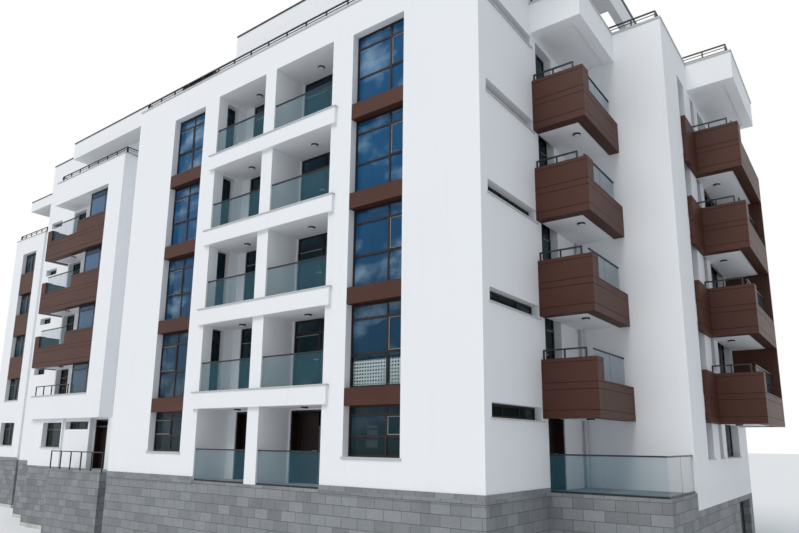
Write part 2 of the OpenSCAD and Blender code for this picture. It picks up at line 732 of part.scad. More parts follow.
module front_window_glass() color("lightblue") place() {
    on_front(0) panes(concat(stack_right, stack_left));
    on_front(loggia_frame_y) panes(loggia_doors);
    on_right(loggia_l) panes(loggia_windows);
    on_front(roof_front_y) panes(roof_openings);
    on_front(loggia_d) side_pane(door_right_b, door_foot, door_top, side_of(door_right_a));
    on_front(loggia_d) side_pane(door_left_b, door_foot, door_top, side_of(door_left_a));
    on_front(entrance_y)
        block(entrance_a + frame_w + joint, entrance_b - frame_w - joint, wall_t - leaf_t,
            wall_t - leaf_t + glass_t, entrance_bar + frame_w + joint, entrance_top - frame_w - joint);
}

module side_window_frames() color("saddlebrown") place() {
    on_right(0) frames(side_strips, [1 / 3, 2 / 3]);
    on_right(0) frames(side_doors, [0.5], [0.8]);
    on_right(wing_r) frames(wing_narrow, [], [0.4, 0.82]);
    on_right(wing_r) frames(wing_small);
    on_right(wing_r) frames(wing_wide, [1 / 3, 2 / 3], [0.8]);
}

module side_window_glass() color("lightblue") place() {
    on_right(0) panes(concat(side_strips, side_doors));
    on_right(wing_r) panes(concat(wing_narrow, wing_small, wing_wide));
}

module left_window_frames() color("saddlebrown") place() {
    on_front(end_y) frames(stack_end, [0.5], [0.75]);
    on_front(left_ground_y) frames(left_ground_window, [], [0.75]);
    on_front(left_step_y) frames(left_ground_strip, [1 / 3, 2 / 3]);
    on_front(bay_frame_y) frames(bay_windows, [0.68], [0.8]);
    on_front(left_wing_y) frames(left_strips, [0.5]);
    on_front(left_back_y) frames(left_doors, [0.5], [0.8]);
}

module left_window_glass() color("lightblue") place() {
    on_front(end_y) panes(stack_end);
    on_front(left_ground_y) panes(left_ground_window);
    on_front(left_step_y) panes(left_ground_strip);
    on_front(bay_frame_y) panes(bay_windows);
    on_front(left_wing_y) panes(left_strips);
    on_front(left_back_y) panes(left_doors);
}

module rear_window_frames() color("saddlebrown") place() {
    on_back(block_d) frames(rear_openings, [0.5], [0.4, 0.82]);
    on_left(end_l) frames(end_openings, [0.5]);
}

module rear_window_glass() color("lightblue") place() {
    on_back(block_d) panes(rear_openings);
    on_left(end_l) panes(end_openings);
}

// A balcony of the wing's side, from its cladding's foot: from the wall at x0 to its edge at x1
module side_balcony_slab(x0, x1, y0, y1, z) block(x0, x1, y0, y1, z - panel_drop + soffit_up, z);

module balcony_slabs() color("whitesmoke") place() {
    for (k = [1:upper]) {
        side_balcony_slab(0, balcony_out - panel_t - joint, balcony_y + panel_t + joint, wing_y, level(k));
        side_balcony_slab(wing_r, rear_r - panel_t - joint, rear_balcony_y + panel_t + joint,
            guard_y - joint, level(k));
    }
    for (k = [2:upper]) {
        left = left_end + panel_t + joint;
        side_balcony_slab(left, bay_window_l - joint, left_y + panel_t + joint, left_back_y - joint,
            level(k));
        side_balcony_slab(left, bay_l - joint, left_back_y, left_wing_y, level(k));
    }
    block(bay_l + wall_t + joint, bay_window_l + wall_t - joint, left_y + wall_t + joint,
        left_wing_y + wall_t - joint, bay_foot, level(1));
    block(bay_window_l + wall_t, bay_r - wall_t - joint, left_y + wall_t + joint, link_wall_back - joint,
        bay_foot, level(1));
    block(bay_l + wall_t + joint, bay_window_l + wall_t - joint, left_y + wall_t + joint, left_back - joint,
        band_foot, roof_floor);
    block(0, balcony_out - wall_t - joint, balcony_y + wall_t + joint, wing_y,
        top_foot + soffit_up, roof_floor);
    block(wing_r, rear_r - wall_t - joint, rear_balcony_y + wall_t + joint, rear_end - wall_t - joint,
        top_foot + soffit_up, roof_floor);
}

module clad(x0, x1, y0, y1, z, rise) block(x0, x1, y0, y1, z - panel_drop, z + rise);

module balcony_panels() color("saddlebrown") place() {
    for (k = [1:upper]) {
        z = level(k);
        clad(0, balcony_out, balcony_y, balcony_y + panel_t, z, panel_rise);
        clad(balcony_out - panel_t, balcony_out, balcony_y + panel_t + joint,
            balcony_y + panel_return, z, panel_rise);
        clad(balcony_out - panel_t, balcony_out, balcony_y + panel_return + joint, wing_y, z, panel_low);
        clad(wing_r, wing_r + clad_out, rear_clad_y, rear_balcony_y - joint, z, panel_rise);
        clad(wing_r, rear_r, rear_balcony_y, rear_balcony_y + panel_t, z, panel_rise);
        clad(rear_r - panel_t, rear_r, rear_balcony_y + panel_t + joint,
            rear_balcony_y + panel_return, z, panel_rise);
        clad(rear_r - panel_t, rear_r, rear_balcony_y + panel_return + joint, guard_y - joint,
            z, panel_low);
    }
    block(wing_r, rear_r, guard_y, rear_end, level(1) - panel_drop, level(upper) + panel_low);
    for (k = [2:upper]) {
        z = level(k);
        clad(left_end, left_glass_l - joint, left_y, left_y + panel_t, z, panel_rise);
        clad(left_glass_l, left_glass_r, left_y, left_y + panel_t, z, panel_low);
        clad(left_glass_r + joint, bay_window_r - joint, left_y, left_y + panel_t, z, panel_rise);
        clad(left_end, left_end + panel_t, left_y + panel_t + joint, left_wing_y - joint, z, panel_rise);
    }
}

// Upright glass on a channel, for a railing along the front
module guard(a, b, foot, top) block(a, b, 0, guard_t, foot + channel_h, top - rail_t);

module railing_glass() color("lightseagreen") place() {
    for (k = [0:upper]) on_front(edge_in) {
        guard(loggia_l, pier_l, level(k), level(k) + rail_h);
        guard(pier_r, loggia_r, level(k), level(k) + rail_h);
    }
    for (k = [1:upper]) {
        on_right(balcony_out - guard_in)
            guard(balcony_y + panel_return + joint, wing_y, level(k) + panel_low, level(k) + rail_h);
        on_right(rear_r - guard_in)
            guard(rear_balcony_y + panel_return + joint, guard_y, level(k) + panel_low, level(k) + rail_h);
    }
    for (k = [2:upper])
        on_front(left_y + edge_in)
            guard(left_glass_l, left_glass_r, level(k) + panel_low, level(k) + rail_h);
    on_front(terrace_y + edge_in) guard(0, wing_r - edge_in - guard_t - joint, level(0), level(0) + rail_h);
    on_right(wing_r - edge_in) guard(terrace_y + edge_in, wing_y, level(0), level(0) + rail_h);
}

// The channel and the handrail of a railing along the front
module guard_rails(a, b, foot, top) {
    block(a, b, guard_t / 2 - rail_t / 2, guard_t / 2 + rail_t / 2, foot, foot + channel_h);
    block(a, b, guard_t / 2 - rail_t / 2, guard_t / 2 + rail_t / 2, top - rail_t, top);
}

// A handrail on short posts along a wall's top
module post_rail(a, b, foot, top) {
    posts = ceil((b - a) / post_step);
    step = (b - a - rail_t) / posts;
    block(a, b, 0, rail_t, top - rail_t, top);
    for (i = [0:posts]) block(a + i * step, a + i * step + rail_t, 0, rail_t, foot, top - rail_t + eps);
}

module handrails() color("darkslategray") place() {
    rail_in = (panel_t - rail_t) / 2;
    for (k = [0:upper]) on_front(edge_in) {
        guard_rails(loggia_l, pier_l, level(k), level(k) + rail_h);
        guard_rails(pier_r, loggia_r, level(k), level(k) + rail_h);
    }
    for (k = [1:upper]) {
        z = level(k);
        on_right(balcony_out - guard_in)
            guard_rails(balcony_y + panel_return + joint, wing_y, z + panel_low, z + rail_h);
        on_front(balcony_y + rail_in)
            post_rail(0, balcony_out - guard_in - 2 * rail_t, z + panel_rise, z + rail_h);
        on_right(rear_r - guard_in)
            guard_rails(rear_balcony_y + panel_return + joint, guard_y, z + panel_low, z + rail_h);
        on_front(rear_balcony_y + rail_in)
            post_rail(wing_r, rear_r - guard_in - 2 * rail_t, z + panel_rise, z + rail_h);
    }
    for (k = [2:upper])
        on_front(left_y + edge_in)
            guard_rails(left_glass_l, left_glass_r, level(k) + panel_low, level(k) + rail_h);
    on_front(left_y + rail_in) post_rail(bay_l, bay_window_l - joint, first_sill, level(1) + rail_h);
    terrace_rail = level(0) + rail_h;
    on_front(terrace_y + edge_in) guard_rails(0, wing_r - edge_in - rail_t - joint, level(0), terrace_rail);
    on_right(wing_r - edge_in) guard_rails(terrace_y + edge_in - rail_t, wing_y, level(0), terrace_rail);
    on_front(landing_y + edge_in)
        post_rail(landing_left, landing_left + landing_l, level(0), level(0) + landing_rail_h);
}

// A coping on a wall along the front, and the railing that stands on it
module coping(a, b, foot = wall_top) block(a, b, -lip, wall_t + lip, foot, foot + coping_t);

module wall_copings() color("lightgray") place() {
    on_front(0) coping(main_l - lip, lip);
    on_left(main_l) coping(wall_t + lip + joint, link_wall_y - lip - joint);
    on_right(0) coping(wall_t + lip + joint, roof_front_y - joint);
    on_front(balcony_y) coping(joint, balcony_out + lip);
    on_right(balcony_out) coping(balcony_y + wall_t + lip + joint, wing_y - lip - joint);
    on_front(wing_y) coping(joint, wing_r + lip);
    on_right(wing_r) coping(wing_y + wall_t + lip + joint, rear_balcony_y - lip - joint);
    on_front(rear_balcony_y) coping(wing_r - wall_t, rear_r + lip);
    on_right(rear_r) coping(rear_balcony_y + wall_t + lip + joint, rear_end - wall_t - lip - joint);
    on_back(rear_end) coping(wing_r - wall_t, rear_r + lip);
    on_right(wing_r) coping(rear_balcony_y + wall_t + lip + joint, rear_end - wall_t - lip - joint);
    on_right(wing_r) coping(rear_end + lip + joint, block_d - wall_t - lip - joint);
    on_back(block_d) coping(end_l - lip, wing_r + lip);
    on_left(end_l) coping(end_y + wall_t + lip + joint, block_d - wall_t - lip - joint);
    on_front(end_y) coping(end_l - lip, end_r + lip);
    on_right(end_r) coping(end_y + wall_t + lip + joint, link_y - lip - joint);
    on_front(link_y) coping(end_r - wall_t, left_wing_l - joint);
    on_left(bay_l) coping(left_y + wall_t + lip + joint, left_wing_y - joint);
    on_front(left_y) coping(bay_l - lip, bay_r + lip);
    on_right(bay_r) coping(left_y + wall_t + lip + joint, link_wall_y - lip - joint);
    on_front(link_wall_y) coping(bay_r - wall_t, main_l + wall_t);
    on_front(left_y) coping(bay_l - lip, bay_window_l - joint, level(1) + left_rise);
    on_front(left_y)
        block(bay_window_l, bay_window_r - joint, -lip, wall_t, level(1) + left_rise, first_sill);
    for (k = [1:upper])
        block(loggia_l - fascia_lap - lip, loggia_r + fascia_lap + lip, -fascia_out - lip, 0,
            level(k), level(k) + sill_t);
}

module roof_rail(a, b) {
    foot = wall_top + coping_t;
    translate([0, (wall_t - rail_t) / 2, 0]) {
        post_rail(a, b, foot, foot + roof_rail_h);
        for (share = [0.3, 0.62])
            block(a + eps, b - eps, rail_t / 4, 3 * rail_t / 4, foot + share * roof_rail_h,
                foot + share * roof_rail_h + rail_t / 2);
    }
}

module roof_railing() color("darkslategray") place() {
    mid = (wall_t - rail_t) / 2;
    past = mid + rail_t + joint;
    up_to = mid - joint;
    on_front(0) roof_rail(main_l + mid, -mid);
    on_left(main_l) roof_rail(past, link_wall_y + up_to);
    on_right(0) roof_rail(past, roof_front_y - joint);
    on_front(balcony_y) roof_rail(joint, balcony_out - mid);
    on_right(balcony_out) roof_rail(balcony_y + past, wing_y + up_to);
    on_front(wing_y) roof_rail(balcony_out - wall_t + mid, wing_r - mid);
    on_right(wing_r) roof_rail(wing_y + past, rear_balcony_y + up_to);
    on_front(rear_balcony_y) roof_rail(wing_r - wall_t + mid, rear_r - mid);
    on_right(rear_r) roof_rail(rear_balcony_y + past, rear_end - past);
    on_back(rear_end) roof_rail(wing_r - wall_t + mid, rear_r - mid);
    on_right(wing_r) roof_rail(rear_end - up_to, block_d - past);
    on_back(block_d) roof_rail(end_l + mid, wing_r - mid);
    on_left(end_l) roof_rail(end_y + past, block_d - past);
    on_front(end_y) roof_rail(end_l + mid, end_r - mid);
    on_right(end_r) roof_rail(end_y + past, link_y + up_to);
    on_front(link_y) roof_rail(end_r - wall_t + mid, left_wing_l - joint);
    on_left(bay_l) roof_rail(left_y + past, left_wing_y - joint);
    on_front(left_y) roof_rail(bay_l + mid, bay_r - mid);
    on_right(bay_r) roof_rail(left_y + past, link_wall_y + up_to);
    on_front(link_wall_y) roof_rail(bay_r - wall_t + mid, main_l + wall_t - mid);
}

module roof_balcony_walls() color("white") place() {
    on_front(balcony_y) wall(0, balcony_out, top_foot, wall_top);
    on_right(balcony_out) wall(balcony_y + wall_t + joint, wing_y - joint, top_foot, wall_top);
    on_front(rear_balcony_y) wall(wing_r, rear_r, top_foot, wall_top);
    on_right(rear_r) wall(rear_balcony_y + wall_t + joint, rear_end - wall_t - joint, top_foot, wall_top);
    on_back(rear_end) wall(wing_r, rear_r, top_foot, wall_top);
}

module roof_storey_walls() color("white") place() {
    on_front(roof_front_y) wall(roof_main_l, 0, roof_floor, ceiling, roof_openings);
    on_right(0) wall(roof_front_y + wall_t + joint, roof_back - wall_t - joint, roof_floor, ceiling);
    on_left(roof_main_l) wall(roof_front_y + wall_t + joint, left_wing_y + wall_t, roof_floor, ceiling);
    on_front(left_wing_y) wall(bay_l + wall_t + joint, roof_main_l - joint, roof_floor, ceiling);
    on_left(left_wing_l) wall(link_y + wall_t + joint, roof_back - wall_t - joint, roof_floor, ceiling);
    on_back(roof_back) wall(left_wing_l, 0, roof_floor, ceiling);
}

// The upper roof's plates, as [left, right, front, back, underside]
plates = [
    [canopy_l, left_wing_l - joint, end_y, roof_back, roof_top - pergola_h],
    [left_wing_l, bay_l - joint, left_wing_y, roof_back, ceiling],
    [bay_l, roof_main_l - joint, roof_left_y, roof_back, ceiling],
    [roof_main_l, pergola_a - joint, roof_front_y, roof_back, ceiling],
    [pergola_a, pergola_out, roof_front_y, pergola_y - joint, ceiling],
    [pergola_a, pergola_out, pergola_end + joint, roof_back, ceiling]
];

module roof_slabs() color("whitesmoke") place() {
    for (p = plates) block(p[0], p[1], p[2], p[3], p[4], p[4] + roof_t);
    block(pergola_b, pergola_out, pergola_y, pergola_end, ceiling, roof_top);
}

// The upright edge around a plate
module roof_edge(p) {
    foot = p[4] + roof_t;
    block(p[0], p[1], p[2], p[2] + roof_t, foot, roof_top);
    block(p[0], p[1], p[3] - roof_t, p[3], foot, roof_top);
    block(p[0], p[0] + roof_t, p[2] + roof_t + joint, p[3] - roof_t - joint, foot, roof_top);
    block(p[1] - roof_t, p[1], p[2] + roof_t + joint, p[3] - roof_t - joint, foot, roof_top);
}

module roof_edges() color("white") place() for (p = plates) roof_edge(p);

module roof_trims() color("darkslategray") place() {
    for (p = plates) {
        block(p[0], p[1], p[2] - lip, p[2] + roof_t, roof_top, roof_top + trim_h);
        block(p[0], p[1], p[3] - roof_t, p[3] + lip, roof_top, roof_top + trim_h);
    }
    block(canopy_l - lip, canopy_l - joint, end_y, roof_back, roof_top - trim_h, roof_top + trim_h);
    block(pergola_out + joint, pergola_out + lip, roof_front_y, roof_back,
        roof_top - trim_h, roof_top + trim_h);
}

module roof_unit() color("darkslategray") place()
    translate([main_l + roof_unit_in, roof_unit_y, roof_floor]) cube([roof_unit_w, roof_unit_d, roof_unit_h]);

// Doors that open: the hinge stands at the left jamb on the wall's inner face
function hinge_u(a) = a + frame_w + leaf_gap / 2;
function hinge_z(foot, top) = [foot + (top - foot) / 5, top - (top - foot) / 5];
hinge_v = wall_t + hinge_r;

// A hinge's lower half, with its pin, on the jamb
module hinge_post(a, z) {
    translate([hinge_u(a), hinge_v, z]) {
        cylinder(r = hinge_r, h = hinge_h, $fn = 32);
        cylinder(r = pin_r, h = 2 * hinge_h, $fn = 32);
    }
    block(hinge_u(a) - plate_w, hinge_u(a), wall_t, wall_t + plate_t, z, z + hinge_h);
}

// A hinge's upper half, on the leaf
module hinge_sleeve(a, z) {
    translate([hinge_u(a), hinge_v, z + hinge_h + joint]) difference() {
        union() {
            cylinder(r = hinge_r, h = hinge_h, $fn = 32);
            translate([0, -hinge_r, 0]) cube([plate_w, plate_t, hinge_h]);
        }
        translate([0, 0, -eps]) cylinder(r = pin_r + joint / 2, h = hinge_h + 2 * eps, $fn = 32);
    }
}

// The fixed frame of a doorway from a to b, with a side light right of side and a light over bar
module door_frame(a, b, foot, top, side = 0, bar = 0) {
    v0 = wall_t - door_frame_d;
    block(a, a + frame_w, v0, wall_t, foot, top);
    block(b - frame_w, b, v0, wall_t, foot, top);
    block(a + frame_w + joint, b - frame_w - joint, v0, wall_t, top - frame_w, top);
    for (z = hinge_z(foot, bar > 0 ? bar : top - frame_w)) hinge_post(a, z);
    if (side > 0) {
        block(side, side + frame_w, v0, wall_t, foot, top - frame_w - joint);
        block(side + frame_w + joint, b - frame_w - joint, v0, wall_t, foot, foot + frame_w);
    }
    if (bar > 0) block(a + frame_w + joint, b - frame_w - joint, v0, wall_t, bar, bar + frame_w);
}

module side_pane(b, foot, top, side)
    block(side + frame_w + joint, b - frame_w - joint, wall_t - leaf_t, wall_t - leaf_t + glass_t,
        foot + frame_w + joint, top - frame_w - joint);

// A door's leaf from a to b: glazed in a frame, or solid
module leaf(a, b, foot, top, glazed = true) {
    difference() {
        block(a, b, wall_t - leaf_t, wall_t, foot, top);
        if (glazed)
            block(a + stile_w, b - stile_w, wall_t - leaf_t - eps, wall_t + eps,
                foot + stile_w, top - stile_w);
    }
    if (glazed)
        block(a + stile_w + joint, b - stile_w - joint, wall_t - leaf_t / 2 - glass_t / 2,
            wall_t - leaf_t / 2 + glass_t / 2, foot + stile_w + joint, top - stile_w - joint);
}

function side_of(a) = a + frame_w + 2 * leaf_gap + leaf_w;
door_foot = level(0);
door_top = head(0);
entrance_top = door_foot + entrance_h;
entrance_bar = entrance_top - frame_w - transom_h;

module door_frames() color("saddlebrown") place() {
    on_front(entrance_y) door_frame(entrance_a, entrance_b, door_foot, entrance_top, bar = entrance_bar);
    on_right(0) door_frame(side_door_y, side_door_end, door_foot, door_top);
    on_front(loggia_d) {
        door_frame(door_right_a, door_right_b, door_foot, door_top, side = side_of(door_right_a));
        door_frame(door_left_a, door_left_b, door_foot, door_top, side = side_of(door_left_a));
    }
}

// A door hung in its frame: its leaf starts beside the jamb at a and ends at b
module hung_door(a, b, foot, top, glazed = true) {
    leaf(a + frame_w + leaf_gap, b, foot + leaf_gap, top - leaf_gap, glazed);
    for (z = hinge_z(foot, top)) hinge_sleeve(a, z);
}

module entrance_door() color("saddlebrown") place() on_front(entrance_y)
    hung_door(entrance_a, entrance_b - frame_w - leaf_gap, door_foot, entrance_bar, glazed = false);

module terrace_door() color("saddlebrown") place() on_right(0)
    hung_door(side_door_y, side_door_end - frame_w - leaf_gap, door_foot, door_top - frame_w);

module loggia_door_right() color("saddlebrown") place() on_front(loggia_d)
    hung_door(door_right_a, side_of(door_right_a) - leaf_gap, door_foot, door_top - frame_w);

module loggia_door_left() color("saddlebrown") place() on_front(loggia_d)
    hung_door(door_left_a, side_of(door_left_a) - leaf_gap, door_foot, door_top - frame_w);

base_slab();
basement_walls();
stone_plinth();
garage_shutter();
garden_terrace();
entrance_landing();
floor_slabs();
front_walls();
loggia_bands();
loggia_slabs();
loggia_side_walls();
loggia_back_wall();
side_walls();
wing_walls();
rear_walls();
left_bay_walls();
left_ground_walls();
left_wing_walls();
end_block_walls();
entrance_wall();
spandrels();
window_sills();
front_window_frames();
front_window_glass();
side_window_frames();
side_window_glass();
left_window_frames();
left_window_glass();
rear_window_frames();
rear_window_glass();
balcony_slabs();
balcony_panels();
railing_glass();
handrails();
wall_copings();
roof_railing();
roof_balcony_walls();
roof_storey_walls();
roof_slabs();
roof_edges();
roof_trims();
roof_unit();
door_frames();
entrance_door();
terrace_door();
loggia_door_right();
loggia_door_left();
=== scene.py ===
"""Looks of a five-storey apartment block, laid out as an add-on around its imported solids.

Everything is in metres of the 1:2 model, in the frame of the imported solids: X runs along
the long front to the right, Y from the front to the back, and Z up.
"""

import json
import math

import bmesh
import bpy
from bpy.props import FloatProperty, FloatVectorProperty, PointerProperty
from mathutils import Matrix, Vector


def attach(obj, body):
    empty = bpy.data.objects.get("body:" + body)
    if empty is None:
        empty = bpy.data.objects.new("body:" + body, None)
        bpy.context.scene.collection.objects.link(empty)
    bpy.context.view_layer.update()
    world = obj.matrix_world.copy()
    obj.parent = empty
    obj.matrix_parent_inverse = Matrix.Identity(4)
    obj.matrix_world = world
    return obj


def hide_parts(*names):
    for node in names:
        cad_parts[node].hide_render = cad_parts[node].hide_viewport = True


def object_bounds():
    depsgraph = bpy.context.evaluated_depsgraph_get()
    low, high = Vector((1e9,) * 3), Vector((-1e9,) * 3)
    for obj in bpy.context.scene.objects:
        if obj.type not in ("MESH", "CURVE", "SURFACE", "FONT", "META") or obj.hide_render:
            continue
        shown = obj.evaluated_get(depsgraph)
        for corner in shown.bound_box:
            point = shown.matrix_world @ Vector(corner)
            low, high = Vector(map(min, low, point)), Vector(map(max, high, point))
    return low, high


bl_info = {
    "name": "Apartment block",
    "version": (1, 0, 0),
    "blender": (4, 5, 0),
    "location": "3D View > Sidebar > Apartment block",
    "description": "Finishes and fittings of a white apartment block with brown balconies",
    "category": "Object",
}

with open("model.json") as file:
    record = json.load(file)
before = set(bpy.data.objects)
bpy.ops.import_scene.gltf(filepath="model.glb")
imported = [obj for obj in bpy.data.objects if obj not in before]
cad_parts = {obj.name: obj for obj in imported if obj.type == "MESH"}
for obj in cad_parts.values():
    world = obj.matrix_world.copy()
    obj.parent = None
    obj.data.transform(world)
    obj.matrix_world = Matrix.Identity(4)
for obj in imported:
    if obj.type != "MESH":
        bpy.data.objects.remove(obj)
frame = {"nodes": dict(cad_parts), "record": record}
cad_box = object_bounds()
nodes = frame["nodes"]

BUILDING = "building"

# Heights of the ground floor and of one storey, and where the flat roof starts.
GROUND = 1.525
STOREY = 1.5
ROOF = GROUND + 5 * STOREY

# A window frame's face width and depth, its pane's thickness, and how far from the middle of
# the pane the face of a sash stands.
FRAME_FACE = 0.034
FRAME_DEPTH = 0.035
GLASS = 0.012
SASH_FACE = FRAME_DEPTH / 2 + 0.006

# Foot and head of the cell in which a door or a sash opens, as shares of the frame's height.
DOOR_CELL = (0, 0.8)
SASH_CELL = (0.4, 0.82)


def level(storey):
    """Height of a storey's floor, 0 for the ground floor."""
    return GROUND + storey * STOREY


class Link:
    """An output socket of a material's node, on which operators add Math nodes."""

    def __init__(self, finish, socket):
        self.finish = finish
        self.socket = socket

    def math(self, operation, first, second):
        return self.finish.node("ShaderNodeMath", {"operation": operation}, {0: first, 1: second})

    def __add__(self, other):
        return self.math("ADD", self, other)

    def __radd__(self, other):
        return self.math("ADD", other, self)

    def __sub__(self, other):
        return self.math("SUBTRACT", self, other)

    def __rsub__(self, other):
        return self.math("SUBTRACT", other, self)

    def __mul__(self, other):
        return self.math("MULTIPLY", self, other)

    def __rmul__(self, other):
        return self.math("MULTIPLY", other, self)

    def __truediv__(self, other):
        return self.math("DIVIDE", self, other)

    def __gt__(self, edge):
        return self.math("GREATER_THAN", self, edge)

    def __lt__(self, edge):
        return self.math("LESS_THAN", self, edge)

    def fraction(self):
        return self.math("FRACT", self, 0.0)

    def clamped(self):
        """The same number, kept between 0 and 1."""
        return self.finish.node(
            "ShaderNodeMath", {"operation": "ADD", "use_clamp": True}, {0: self, 1: 0.0}
        )


class Finish:
    """One procedural material, built node by node in Object coordinates."""

    def __init__(self, name):
        self.material = bpy.data.materials.new(f"{name}_finish")
        self.material.use_nodes = True
        self.tree = self.material.node_tree
        self.tree.nodes.clear()
        self.place = self.node("ShaderNodeTexCoord", output="Object")
        self.x = self.node("ShaderNodeSeparateXYZ", inputs={0: self.place}, output=0)
        self.y = self.node("ShaderNodeSeparateXYZ", inputs={0: self.place}, output=1)
        self.z = self.node("ShaderNodeSeparateXYZ", inputs={0: self.place}, output=2)

    def node(self, kind, settings=None, inputs=None, output=0):
        """Adds a node: its settings first, then its sockets' values or links."""
        node = self.tree.nodes.new(kind)
        for key, value in (settings or {}).items():
            if key == "stops":
                for stop, (position, colour) in zip(node.color_ramp.elements, value):
                    stop.position = position
                    stop.color = (*colour, 1)
            else:
                setattr(node, key, value)
        for key, value in (inputs or {}).items():
            if isinstance(value, Link):
                self.tree.links.new(value.socket, node.inputs[key])
            else:
                node.inputs[key].default_value = value
        return Link(self, node.outputs[output])

    def mix(self, share, first, second, blend="MIX"):
        """One colour blended into another."""
        sockets = {0: share, 6: opaque(first), 7: opaque(second)}
        return self.node("ShaderNodeMix", {"data_type": "RGBA", "blend_type": blend}, sockets, 2)

    def stretched(self, scale):
        """Object coordinates stretched by a scale for each axis."""
        return self.node("ShaderNodeVectorMath", {"operation": "MULTIPLY"}, {0: self.place, 1: scale})

    def noise(self, scale, detail=2.0, vector=None):
        sockets = {"Vector": vector or self.place, "Scale": scale, "Detail": detail}
        return self.node("ShaderNodeTexNoise", inputs=sockets)

    def bump(self, height, distance, strength=1.0):
        """A normal raised by a height from 0 to 1 over a distance."""
        sockets = {"Strength": strength, "Distance": distance, "Height": height}
        return self.node("ShaderNodeBump", inputs=sockets)

    def courses(self, length, height, joint, vector):
        """Blocks laid in courses: a colour from block to block, and a mask that is 1 in the joints."""
        sockets = {
            "Vector": vector,
            "Color1": (0, 0, 0, 1),
            "Color2": (1, 1, 1, 1),
            "Mortar": (0.5, 0.5, 0.5, 1),
            "Scale": 1.0,
            "Mortar Size": joint,
            "Mortar Smooth": 0.1,
            "Brick Width": length,
            "Row Height": height,
        }
        tint = self.node("ShaderNodeTexBrick", inputs=sockets, output=0)
        return tint, Link(self, tint.socket.node.outputs["Fac"])

    def finished(self, **sockets):
        """Ends the material in a shader whose sockets are given by name."""
        named = {key.replace("_", " "): value for key, value in sockets.items()}
        shader = self.node("ShaderNodeBsdfPrincipled", inputs=named)
        self.node_output(shader)
        return self.material

    def node_output(self, shader):
        output = self.tree.nodes.new("ShaderNodeOutputMaterial")
        self.tree.links.new(shader.socket, output.inputs["Surface"])


def opaque(colour):
    """A colour with its alpha, or a link as it is."""
    return colour if isinstance(colour, Link) else (*tuple(colour)[:3], 1.0)


def darker(colour, share):
    """A colour times a share, which lightens it where it is over 1."""
    return tuple(part * share for part in tuple(colour)[:3])


def render_finish(colours):
    """White render: a fine trowelled grain, faint clouds and streaks, and a splashed foot."""
    coat = Finish("white_render")
    clouds = coat.noise(0.45, 4.0)
    streaks = coat.noise(1.0, 3.0, coat.stretched((9.0, 9.0, 0.35)))
    splash_height = 0.22
    splash = ((GROUND + splash_height - coat.z) / splash_height).clamped() * coat.noise(3.0, 3.0)
    soil = ((clouds - 0.5) * 0.25 + (streaks - 0.55).clamped() * 0.35 + splash * 0.25).clamped()
    colour = coat.mix(soil, colours.white_render, darker(colours.white_render, 0.72))
    grain = coat.noise(170.0, 2.0) * 0.7 + coat.noise(38.0, 2.0) * 0.3
    rough = 0.82 + coat.noise(6.0) * 0.12
    return coat.finished(Base_Color=colour, Roughness=rough, Normal=coat.bump(grain, 0.0012, 0.5))


def tops(coat, node, below=math.inf):
    """A mask that is 1 on the level tops of a node's solids that lie below a height."""
    mask = 0.0
    near = 0.001
    for top in sorted({round(high.z, 4) for _, high in solids(node)}):
        if top < below:
            mask = mask + (coat.z > top - near) * (coat.z < top + near)
    return mask


def balcony_finish(colours, node):
    """White slabs with grey tiles on top."""
    coat = Finish(node)
    tile, joints = coat.courses(0.2, 0.2, 0.0025, coat.place)
    dust = coat.noise(5.0, 4.0)
    floor = coat.mix(tile * 0.5, darker(colours.floor_slab, 0.7), darker(colours.floor_slab, 0.85))
    floor = coat.mix(joints * 0.6 + dust * 0.15, floor, darker(colours.floor_slab, 0.35))
    tiled = tops(coat, node)
    return coat.finished(
        Base_Color=coat.mix(tiled, colours.white_render, floor),
        Roughness=0.82 - tiled * 0.3 + dust * 0.1,
        Normal=coat.bump((1 - joints) * tiled + coat.noise(170.0, 2.0) * (1 - tiled), 0.0012, 0.5),
    )


def roof_finish(colours):
    """White soffits, and above them grey roofing felt in strips with lapped seams."""
    coat = Finish("roof_slab")
    strip, seams = coat.courses(4.0, 0.5, 0.006, coat.place)
    chips = coat.noise(140.0, 3.0)
    puddles = (coat.noise(0.9, 4.0) - 0.5).clamped() * 2.0
    felt = coat.mix(strip * 0.5, darker(colours.roof_felt, 0.9), darker(colours.roof_felt, 1.1))
    felt = coat.mix(chips * 0.3 + puddles * 0.4, felt, darker(colours.roof_felt, 0.55))
    felt = coat.mix(seams * 0.6, felt, darker(colours.roof_felt, 0.5))
    # The highest top is the rim's, which stays white.
    highest = max(high.z for _, high in solids("roof_slabs"))
    felted = tops(coat, "roof_slabs", highest - 0.01)
    return coat.finished(
        Base_Color=coat.mix(felted, colours.white_render, felt),
        Roughness=0.8 + chips * 0.12,
        Normal=coat.bump(chips * 0.4 + (1 - seams) * 0.6, 0.002, 0.5),
    )


def terrace_finish(colours):
    """Pale concrete, jointed as square slabs."""
    coat = Finish("concrete_floor")
    tint, joints = coat.courses(0.3, 0.3, 0.003, coat.place)
    colour = coat.mix(0.16, colours.floor_slab, tint)
    colour = coat.mix(joints * 0.6, colour, darker(colours.floor_slab, 0.4))
    pores = coat.noise(60.0, 3.0)
    return coat.finished(
        Base_Color=coat.mix(pores * 0.25, colour, darker(colours.floor_slab, 0.6)),
        Roughness=0.72 + pores * 0.2,
        Normal=coat.bump((1 - joints) * 0.8 + pores * 0.2, 0.0015, 0.6),
    )


